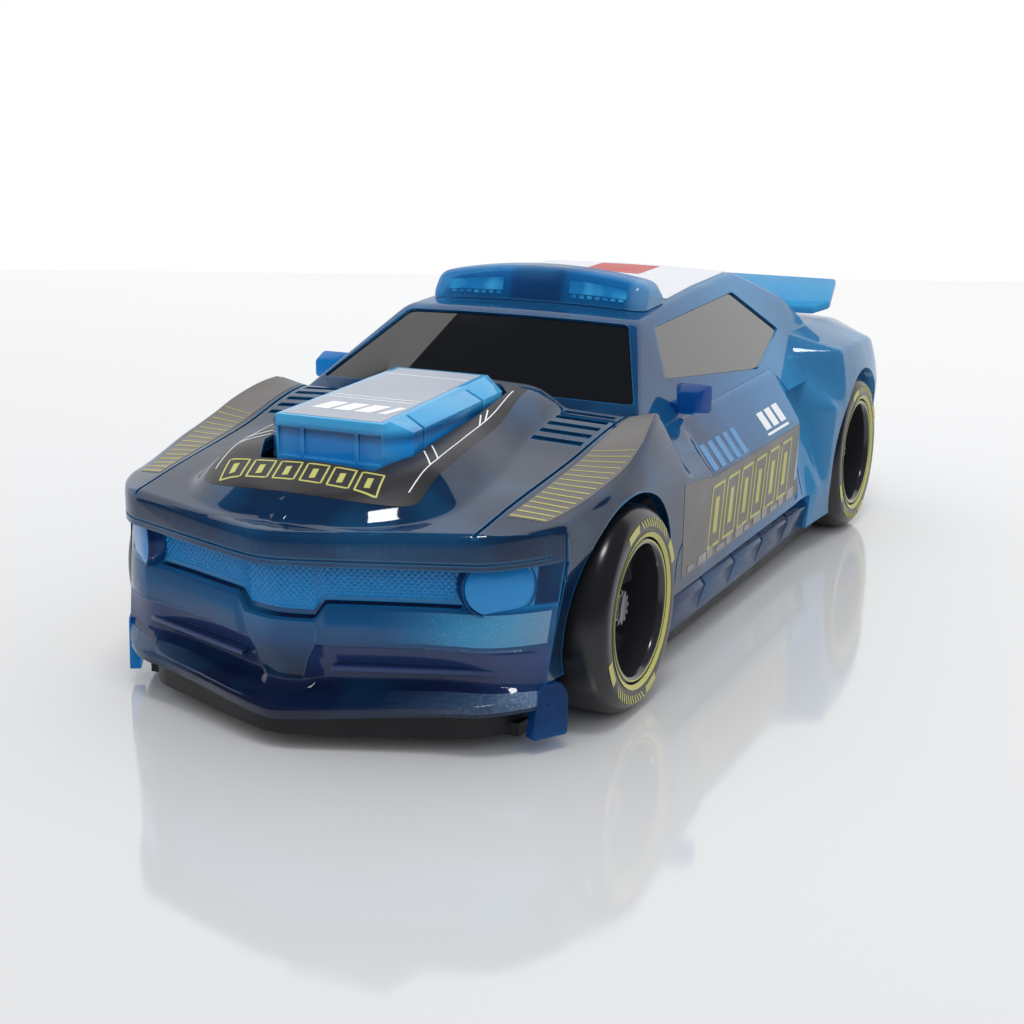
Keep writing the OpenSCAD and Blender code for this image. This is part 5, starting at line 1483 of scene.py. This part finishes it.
@dataclass(frozen=True)
class BodyTrim:
    """Small mouldings: door mirrors, rear wing and side skirts."""

    form: BodyForm
    mirror_y: float = -19.0
    wing_y: float = 71.0
    span: float = 65.0
    chord: float = 13.5
    blade: float = 1.9
    rise: float = 1.4
    tilt: float = 21.0
    stand_x: float = 19.0
    skirt_front: float = -41.1
    skirt_rear: float = 40.0
    skirt_in: float = 36.3
    skirt_slant: float = -18.0
    lip_z: float = 4.7
    skirt_z: float = 12.2
    fit: float = 0.15

    def mirrors(self) -> None:
        """A tapered housing on a stalk at each windscreen pillar."""
        y, z = self.mirror_y, self.form.cowl_z - 2.6
        x = float(self.form.side_x(np.array(z))) + 1.7
        faces = ((-2.8, 3.4, 1, 0, 4.8), (-2.8, 3.4, 0, 0, 4.8), (-1.2, 2.6, -4, 0.7, 3.9))
        rings = []
        for x0, x1, back, z0, z1 in faces:
            across, up = (rectangle(x0, z0, x1, z1) + [x, z]).T
            rings.append(stacked(across, y + back, up))
        house = Surface.tube(np.stack(rings))
        stalk = Surface.prism(rectangle(x - 4.4, y - 2.4, x + 1.1, y), Z_AXIS, z, z + 1.8)
        for side in Side:
            name = side.name.lower()
            piece = house.on(side).piece(f"door_mirror_{name}", OPEN_BLUE)
            soften(piece, 0.7)
            carve(piece, [stalk.on(side)], Cut.JOIN)
            carve(piece, [self.form.cab(-self.fit)])
            dress(piece, "car", "clear_blue", f"mirror_{name}")

    def wing(self) -> None:
        """A tilted blade on two stands."""
        s, c, a = 0.5 * self.span, self.chord, math.radians(self.tilt)
        outline = [[-s + 3, 0], [s - 3, 0], [s, 3], [s - 1.5, c], [-s + 1.5, c], [-s, 3]]
        axes = np.array([[1, 0, 0], [0, math.cos(a), math.sin(a)], [0, -math.sin(a), math.cos(a)]])
        y, deck, top = self.wing_y, self.form.deck_z, self.form.deck_z + self.rise
        wing = Surface.prism(outline, axes, 0, self.blade, (0, y, top)).piece("rear_wing_blade", BRIGHT_BLUE)
        soften(wing, 0.6)
        stand = [[y + 2, deck + 0.9], [y + 9, deck + 0.9], [y + 9, top + 4.2], [y + 2, top + 1.4]]
        places = (-self.stand_x, self.stand_x)
        carve(wing, [Surface.prism(stand, X_AXIS, x - 1.5, x + 1.5) for x in places], Cut.JOIN)
        dress(wing, "car", "clear_blue", "rear_wing")

    def skirts(self) -> None:
        """Five blocks between the wheels, parted by slanted grooves."""
        d, lip, top, inner = self.form.door, self.lip_z, self.skirt_z, self.skirt_in
        profile = [[inner, lip + 0.4], [d - 1.4, lip + 0.6], [d - 0.3, top - 2], [d - 1.4, top - 0.8],
                   [inner, top - 0.8]]
        bar = Surface.prism(profile, Y_AXIS, self.skirt_front, self.skirt_rear)
        a, size = math.radians(self.skirt_slant), self.skirt_rear - self.skirt_front
        slant = np.array([[0, math.cos(a), math.sin(a)], [0, -math.sin(a), math.cos(a)], [1, 0, 0]])
        gaps = [Surface.prism(rectangle(-0.3, -2, 0.3, 14), slant, d - 1.2, d + 3,
                              (0, self.skirt_front + size * i / 5, lip - 1)) for i in range(1, 5)]
        for side in Side:
            name = f"side_skirt_{side.name.lower()}"
            piece = bar.on(side).piece(f"{name}_moulding", DEEP_BLUE)
            carve(piece, [gap.on(side) for gap in gaps])
            soften(piece, 0.25)
            dress(piece, "car", "clear_blue", name)

    def build(self) -> None:
        """Builds all of them."""
        self.mirrors()
        self.wing()
        self.skirts()


@dataclass(frozen=True)
class Wheel:
    """One wheel: rubber tyre with printed sidewall, deep rim with spokes, serrated nut."""

    name: str
    side: Side
    axle_y: float
    body: str
    tyre_r: float = 16.1
    tyre_w: float = 13.0
    rim_r: float = 11.2
    barrel: float = 1.3
    inner_x: float = 29.0
    dish: float = 5.5
    spokes: int = 5
    spoke_t: float = 2.4
    teeth: int = 12
    band: tuple = (12.9, 14.2)
    dash_step: float = 4.2

    def place(self, radius: Array, angle: Array, out: Array) -> Array:
        """Points from radius, angle and distance outward from the wheel's inner face."""
        x = self.side.value * (self.inner_x + out)
        return stacked(x, self.axle_y + radius * np.cos(angle), self.tyre_r + radius * np.sin(angle))

    def turned(self, profile: Rows, steps: int = 180) -> Surface:
        """Turns a closed profile of radius and width round the axle."""
        radius, out = np.asarray(profile, float).T[..., None]
        return Surface.tube(self.place(radius, turns(steps), out), True)

    def tyre(self) -> None:
        """Smooth tyre with round shoulders, a bead step and a flat printed sidewall."""
        r, t, w = self.rim_r, self.tyre_r, self.tyre_w
        outline = [[r, 0.4], [r + 1, 0], [t - 1.6, 0], [t, 2.0], [t, w - 2.0], [t - 1.6, w],
                   [r + 1.0, w], [r, w - 0.4]]
        ring = self.turned(ring_of(outline, 1.1, 7, 2))
        dress(ring.piece(f"tyre_{self.name}_rubber", RUBBER, 40), self.body, "tyre", f"tyre_{self.name}")

    def arc(self, start: float, end: float, skew: float = 0.0) -> Surface:
        """A printed patch in the sidewall's band between two angles, slanted by a skew, in degrees."""
        inner, outer = self.band
        t = np.linspace(0, 1, 4)
        angle = np.radians(np.linspace(start, end, 14))[:, None] + math.radians(skew) * t
        radius = inner + (outer - inner) * t
        front, back = (self.place(radius, angle, self.tyre_w + lift) for lift in (0.03, -0.05))
        return Surface.tube(np.concatenate([front, back[:, ::-1]], axis=1))

    def prints(self) -> None:
        """Yellow-green rings at the rim and a band of slanted dashes on the sidewall, without letters."""
        r, w = self.rim_r, self.tyre_w
        wide = [[r + 0.1, w - 0.33], [r + 0.85, w - 0.02], [r + 0.85, w + 0.04], [r + 0.1, w - 0.27]]
        fine = [[r - 0.62, w - 0.4], [r - 0.4, w - 0.35], [r - 0.4, w - 0.25], [r - 0.62, w - 0.3]]
        patches = [self.turned(wide), self.turned(fine)]
        for base in (20.0, 200.0):
            patches.append(self.arc(base, base + 17))
            patches += [self.arc(base + 24 + self.dash_step * i, base + 25.6 + self.dash_step * i, 5.0)
                         for i in range(12)]
            patches.append(self.arc(base + 80, base + 97))
        dress(Surface.merge(patches).piece(f"tyre_{self.name}_print", YELLOW_INK), self.body)

    def spoke(self, angle: float) -> Surface:
        """One spoke: a rounded section that narrows from the hub and widens into the barrel."""
        r = np.linspace(2.2, self.rim_r - 1.0, 18)
        t = (r - r[0]) / (r[-1] - r[0])
        wide = 1.55 - 0.7 * np.sin(np.pi * t) + 0.5 * t**2
        front = self.tyre_w - self.dish - 0.5 * np.sin(np.pi * t)
        back = front - self.spoke_t
        corners = ((-wide, front), (wide, front), (wide, back), (-wide, back))
        section = np.stack([stacked(*corner) for corner in corners], axis=1)
        line = rings_of(section, [0.7, 0.7, 0.4, 0.4], 5, 2)
        across, out, radius = line[..., 0], line[..., 1], r[:, None]
        c, s = math.cos(angle), math.sin(angle)
        y, z = self.axle_y + radius * c - across * s, self.tyre_r + radius * s + across * c
        return Surface.tube(stacked(self.side.value * (self.inner_x + out), y, z))

    def rim(self) -> None:
        """Barrel, spokes, hub and nut."""
        r, w, b = self.rim_r - 0.02, self.tyre_w, self.barrel
        barrel = [[r - b, 0], [r, 0], [r, w - 0.7], [r - 0.35, w - 0.3], [r - b + 0.4, w - 0.3],
                  [r - b, w - 1.2]]
        face = w - self.dish
        hub = [[3.2, -2.0], [3.2, 3], [3.95, 3], [3.95, face - 0.6], [3.5, face], [1.6, face],
               [1.5, face - 1.2], [1.5, -2.0]]
        piece = self.turned(ring_of(barrel, 0.3, 4, 2)).piece(f"rim_{self.name}_moulding", RIM_BLACK)
        angles = np.radians(90 + 360 / self.spokes * np.arange(self.spokes))
        carve(piece, [self.turned(hub, 72), *(self.spoke(float(a)) for a in angles)], Cut.JOIN, 40)
        angle = turns(12 * self.teeth)
        teeth = np.clip(1.8 * np.cos(self.teeth * angle), -1, 1)
        middle = np.array([2.65, 2.65, 2.65, 2.45, 2.1, 1.95, 0.05])[:, None]
        depth = np.array([0.25, 0.25, 0.25, 0.2, 0, 0, 0])[:, None]
        out = face + np.array([-0.3, 0.2, 1.9, 2.15, 2.19, 2.1, 2.1])[:, None]
        carve(piece, [Surface.tube(self.place(middle + depth * teeth, angle, out))], Cut.JOIN, 40)
        dress(piece, self.body, "rim_black", f"rim_{self.name}")

    def build(self) -> None:
        """Builds the whole wheel."""
        self.tyre()
        self.prints()
        self.rim()


@dataclass(frozen=True)
class Stickers:
    """Printed films on hood, fenders, doors and roof, with stripes and plain blocks instead of lettering."""

    form: BodyForm
    film_front: float = -92.3
    film_full: float = -86.0
    film_rear: float = -42.0
    line_y: float = -81.6
    line_step: float = 1.95
    door_y: float = -23.5
    door_step: float = 8.0
    dash_y: float = -33.5
    dash_step: float = 5.2

    def hood_w(self, y: Array) -> Array:
        """Half width of the hood film at y: a quarter ellipse at the front, then slowly narrower."""
        s = np.clip((self.film_full - y) / (self.film_full - self.film_front), 0, 1)
        return np.sqrt(1 - s**2) * np.interp(y, (-78, -70, -53, -47, -40), (18, 17.5, 15.6, 14.8, 14))

    def on_hood(self, path: Rows, width: float) -> Surface:
        """A printed line of a width along corners on the hood, given in plan."""
        corners = np.asarray(path, float)
        run = np.concatenate([[0], np.cumsum(np.linalg.norm(np.diff(corners, axis=0), axis=1))])
        at = np.linspace(0, run[-1], max(8, int(run[-1] / 0.5)))
        line = stacked(*(np.interp(at, run, column) for column in corners.T))
        way = np.gradient(line, axis=0)
        across = way[:, ::-1] * [-1, 1] / np.linalg.norm(way, axis=1, keepdims=True)
        plan = line[:, None] + across[:, None] * np.array([-0.5, 0, 0.5])[:, None] * width
        return Surface.plate(self.form.hood_at(plan[..., 0], plan[..., 1]), 0.11, -0.03)

    def hood_block(self, x: float, y: float) -> list[Surface]:
        """Outline of a slanted block on the hood, and the bar in its middle."""
        w, h, slant = 3.5, 4.2, -0.9
        outline = [[x, y], [x + w, y], [x + w + slant, y + h], [x + slant, y + h], [x, y]]
        return [self.on_hood(outline, 0.3), self.on_hood([[x + 1.5, y + 0.9], [x + 1.0, y + 3.1]], 0.9)]

    def hood(self) -> None:
        """Dark film over the bulge, open round the scoop, with an edge line and slanted blocks."""
        f = self.form
        nose = self.film_full + (self.film_front - self.film_full) * np.sin(np.linspace(0.49 * np.pi, 0, 40))
        y = np.concatenate([nose[:-1], np.linspace(self.film_full, self.film_rear, 100)])[:, None]
        grid = f.hood_at(np.linspace(1, -1, 61) * self.hood_w(y), y)
        film = Surface.plate(grid).piece("hood_film", DARK_FILM)
        carve(film, [Surface.prism(Scoop.plan(0.65, 3.05), Z_AXIS, f.nose_z, f.nose_z + 30)])
        dress(film, "car")
        white = []
        for k in (0.9, -0.9):
            y = np.linspace(-86.5, -45, 40)
            white.append(self.on_hood(stacked(k * self.hood_w(y), y), 0.15))
            for y0 in (-76.0, -73.5, -57.0, -54.5):
                tip = k * self.hood_w(np.array(y0 - 4))
                white.append(self.on_hood([[k * 14.6, y0], [tip, y0 - 4]], 0.22))
        dress(Surface.merge(white).piece("hood_lines", WHITE_INK), "car")
        outlines, bars = zip(*(self.hood_block(-13.4 + 4.5 * i, -89.6) for i in range(6)))
        dress(Surface.merge([*outlines, *bars]).piece("hood_blocks", YELLOW_INK), "car")

    def both(self, parts: Sequence[Surface], name: str, finish: Finish) -> None:
        """Puts left-hand prints on both sides of the car."""
        dress(Surface.merge(parts).both().piece(name, finish), "car")

    def flank(self, y: Array, corner: int, share: Array, layer: int = 1) -> Surface:
        """A printed patch on the left flat over a corner line, in a layer of the print."""
        lift = 0.05 * layer + 0.01 * (layer - 1)
        return Surface.plate(self.form.skin(y, corner, share), lift, 0.04 if layer == 1 else -0.03)

    def fenders(self) -> None:
        """Grey film on each fender top with fine yellow cross lines that thin out to the rear."""
        y = np.linspace(-82.2, self.form.front_y + 21.5, 70)[:, None]
        outer = np.interp(y, (-80, -50, -38), (0.25, 0.03, 0.04))
        t = np.linspace(0, 1, 12)[None]
        slanted = y + 2.2 * (1 - t) * np.clip((-60 - y) / 22, 0, 1)
        self.both([self.flank(slanted, 4, outer + (0.86 - outer) * t)], "fender_films", GREY_FILM)
        lines = []
        for i in range(15):
            y0 = self.line_y + self.line_step * i
            start = np.interp(y0, (-80, -50), (0.29, 0.08))
            t = np.linspace(start, 0.84, 10)[None]
            w = np.linspace(0, 0.34 - 0.015 * i, 3)[:, None]
            lines.append(self.flank(y0 + w + 1.9 * (0.84 - t) / (0.84 - start), 4, t, 2))
        self.both(lines, "fender_lines", YELLOW_INK)

    def block(
        self, y0: float, wide: float, low: float, high: float, slant: float = 2.6, upper: bool = False
    ) -> Surface:
        """A slanted patch on the left door.

        Args:
            y0: where it starts.
            wide: its length along the car.
            low: lower edge, as a share of the door's lower or upper flat.
            high: upper edge, as such a share.
            slant: how far the whole flat's height moves it to the rear.
            upper: lies on the upper flat, in the first layer, and not on the lower one's film.

        Returns:
            The patch.
        """
        corner, layer, steps = (2, 1, 4) if upper else (1, 2, 5)
        t, w = np.linspace(low, high, 8)[None], np.linspace(0, wide, steps)[:, None]
        return self.flank(y0 + w + slant * t, corner, t, layer)

    def doors(self) -> None:
        """Grey film on each flank with blocks and a dashed lower edge, and blocks under the window."""
        t, u = np.linspace(0.13, 0.97, 14)[None], np.linspace(0, 1, 150)[:, None]
        start, end = -35.0 - 4.5 * t, 35.0 + 1.5 * t
        self.both([self.flank(start + (end - start) * u, 1, t)], "door_films", GREY_FILM)
        outline = ((0, 0.5, 0.24, 0.88), (6.0, 0.5, 0.24, 0.88), (0, 6.5, 0.24, 0.27), (0, 6.5, 0.85, 0.88),
                   (2.2, 2.0, 0.38, 0.74))
        yellow = [self.block(self.door_y + self.door_step * i + y, *rest)
                  for i in range(6) for y, *rest in outline]
        self.both(yellow, "door_blocks", YELLOW_INK)
        marks = [self.block(y, wide, 0.34, 0.9) for y, wide in ((27.5, 3.2), (32.0, 1.2))]
        self.both(marks, "door_marks", PALE_FILM)
        dashes = []
        for i in range(12):
            wide, high = 3.0 + 1.6 * (i % 2), 0.21 + 0.03 * (i % 3)
            dashes.append(self.block(self.dash_y + self.dash_step * i, wide, 0.15, high, 1.5))
        self.both(dashes, "door_dashes", GLOSS_BLACK)
        stripes = [self.block(-20 + 4.0 * i, 2.3, 0.06, 0.92, -1.5, True) for i in range(5)]
        self.both(stripes, "door_stripes", STRIPE_INK)
        blocks = [self.block(12 + 4.6 * i, 3.2, 0.3, 0.9, -2.0, True) for i in range(3)]
        self.both([*blocks, self.block(11.4, 12.8, 0.12, 0.2, -2.0, True)], "door_white_blocks", WHITE_INK)

    def roof(self) -> None:
        """White film on the roof behind the light bar, with one plain red block."""
        f = self.form
        fa, back = f.front_y, f.rear_y - f.back_ahead
        y = np.linspace(fa + 66, back - 1.5, 40)[:, None]
        knots = (fa + 60, fa + 80, back)
        edge = np.interp(y, knots, (f.header_z + 0.8, f.header_z + 1.8, f.ear_z))
        crown = np.interp(y, knots, (f.crown, f.crown, 0.8 * f.crown))
        half = f.side_x(edge) - 2.2

        def sheet(share: float, steps: int, rows: slice, lift: float, sink: float) -> Surface:
            """Plate over a share of the roof's width."""
            u = np.linspace(share, -share, steps)[None]
            z = edge[rows] + crown[rows] * (1 - 0.75 * np.abs(u) ** 1.5)
            return Surface.plate(stacked(u * half[rows], y[rows], z), lift, sink)

        dress(sheet(1, 33, slice(None), 0.12, 0.3).piece("roof_film", WHITE_FILM), "car")
        dress(sheet(0.32, 9, slice(24, 38), 0.17, -0.1).piece("roof_block", RED_INK), "car")

    def build(self) -> None:
        """Lays all the films."""
        self.hood()
        self.fenders()
        self.doors()
        self.roof()


@dataclass(frozen=True)
class InnerWorks:
    """CAD pieces that keep their shape and get a better finish."""

    nodes: dict

    def build(self) -> None:
        """Puts a finish on every CAD node that is still shown."""
        table = {
            "window_insert": GLOSS_BLACK, "light_bar_reflectors": METALLISED, "chassis": MATTE_BLACK,
            "battery_cover": MATTE_BLACK, "battery_cover_screw": STEEL, "batteries": CELL_SLEEVE,
            "battery_contacts": STEEL, "circuit_board": BOARD, "speaker": MATTE_BLACK, "wiring": WIRE_SLEEVE,
            "light_diodes": EPOXY, "push_switch": MATTE_BLACK, "switch_plunger": GREY_PLASTIC,
            "power_switch": GREY_PLASTIC, "switch_case": STEEL, "chassis_screws": STEEL, "front_axle": STEEL,
            "rear_axle": STEEL,
        }
        for name, finish in table.items():
            for slot in self.nodes[name].material_slots:
                slot.link = "OBJECT"
                slot.material = finish.material
            LOG.info("%s: CAD shape with %s", name, finish.name)


@dataclass(frozen=True)
class Studio:
    """Camera, light, floor and white surround, in mm, degrees and watts."""

    eye: tuple = (135.383, -310.575, 98.695)
    azimuth: float = 24.714
    elevation: float = 14.188
    roll: float = 0.689
    lens: float = 64.895
    sensor: float = 36.0
    light_at: tuple = (105, -215, 615)
    light_aim: tuple = (0, -40, 20)
    light_size: tuple = (165, 105)
    light_power: float = 1.0
    floor_half: float = 4000.0
    wall_half: float = 3000.0
    wall_back: float = 483.0
    wall_h: float = 930.0

    def camera(self) -> None:
        """Camera that matches the photo's view, worked out from the wheels and windows."""
        a, e, r = (math.radians(v) for v in (self.azimuth, self.elevation, self.roll))
        right = Vector((math.cos(a), math.sin(a), 0))
        back = Vector((math.sin(a) * math.cos(e), -math.cos(a) * math.cos(e), math.sin(e)))
        up = back.cross(right)
        turned = math.cos(r) * right + math.sin(r) * up, -math.sin(r) * right + math.cos(r) * up
        data = bpy.data.cameras.new("camera")
        data.lens, data.sensor_width, data.sensor_fit = self.lens, self.sensor, "HORIZONTAL"
        data.clip_start, data.clip_end = 0.01, 50.0
        made = bpy.data.objects.new("camera", data)
        axes = Matrix((*turned, back)).transposed().to_4x4()
        made.matrix_world = Matrix.Translation(Vector(self.eye) * MM) @ axes
        bpy.context.scene.collection.objects.link(made)
        bpy.context.scene.camera = made

    def light(self) -> None:
        """Soft rectangular light overhead, which mirrors in the hood's front."""
        data = bpy.data.lights.new("overhead", "AREA")
        data.shape, data.energy = "RECTANGLE", self.light_power
        data.size, data.size_y = (v * MM for v in self.light_size)
        made = bpy.data.objects.new("overhead", data)
        made.location = Vector(self.light_at) * MM
        way = Vector(self.light_aim) - Vector(self.light_at)
        made.rotation_euler = way.to_track_quat("-Z", "Y").to_euler()
        bpy.context.scene.collection.objects.link(made)

    def floor(self) -> None:
        """Pale table that keeps the shadow and a faint mirror image, and a white wall behind it."""
        a, f, w, back = math.radians(self.azimuth), self.floor_half, self.wall_half, self.wall_back
        axes = np.array([[math.cos(a), math.sin(a), 0], [-math.sin(a), math.cos(a), 0], [0, 0, 1]])
        top = Surface.prism(rectangle(-f, -f, f, f), Z_AXIS, -5, 0).piece("floor", TABLE)
        sheet = rectangle(-w, back - 5, w, back + 5)
        wall = Surface.prism(sheet, axes, 0, self.wall_h).piece("backdrop", LIT_SHEET)

    def surround(self) -> None:
        """White for the camera and through the plastic, level light on matte faces, a dim room in mirrors."""
        world = bpy.data.worlds.new("white_studio")
        tree = emptied(world)
        path = add_node(tree, "LightPath").outputs
        level, dim, white = (add_node(tree, "Background", {"Color": linear(color), "Strength": strength})
                             for color, strength in (("#F6F8FC", 1.0), ("#AEB6C6", 0.15), ("#FFFFFF", 1.0)))
        shine = add_node(tree, "MixShader", {0: path["Is Glossy Ray"], 1: level, 2: dim})
        seen = add_node(tree, "MixShader", {0: path["Is Camera Ray"], 1: shine, 2: white})
        add_node(tree, "OutputWorld", {"Surface": seen})
        bpy.context.scene.world = world

    def build(self) -> None:
        """Sets the whole stage."""
        self.camera()
        self.floor()
        self.surround()
        self.light()
        bpy.context.scene.view_settings.view_transform = "Standard"


def main() -> None:
    """Builds every sub-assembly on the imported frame, in order."""
    logging.basicConfig(level=logging.INFO, format="%(name)s: %(message)s")
    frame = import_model()
    form = BodyForm()
    axles = (("front", form.front_y), ("rear", form.rear_y))
    wheels = [Wheel(f"{end}_{side.name.lower()}", side, y, f"{end}_wheels")
              for end, y in axles for side in Side]
    parts = [
        BodyShell(form), Bumper(form), Scoop(form), LightBar(form), BodyTrim(form), Stickers(form), *wheels,
        InnerWorks(frame["nodes"]), Studio(),
    ]
    for part in parts:
        part.build()


if __name__ == "__main__":
    main()
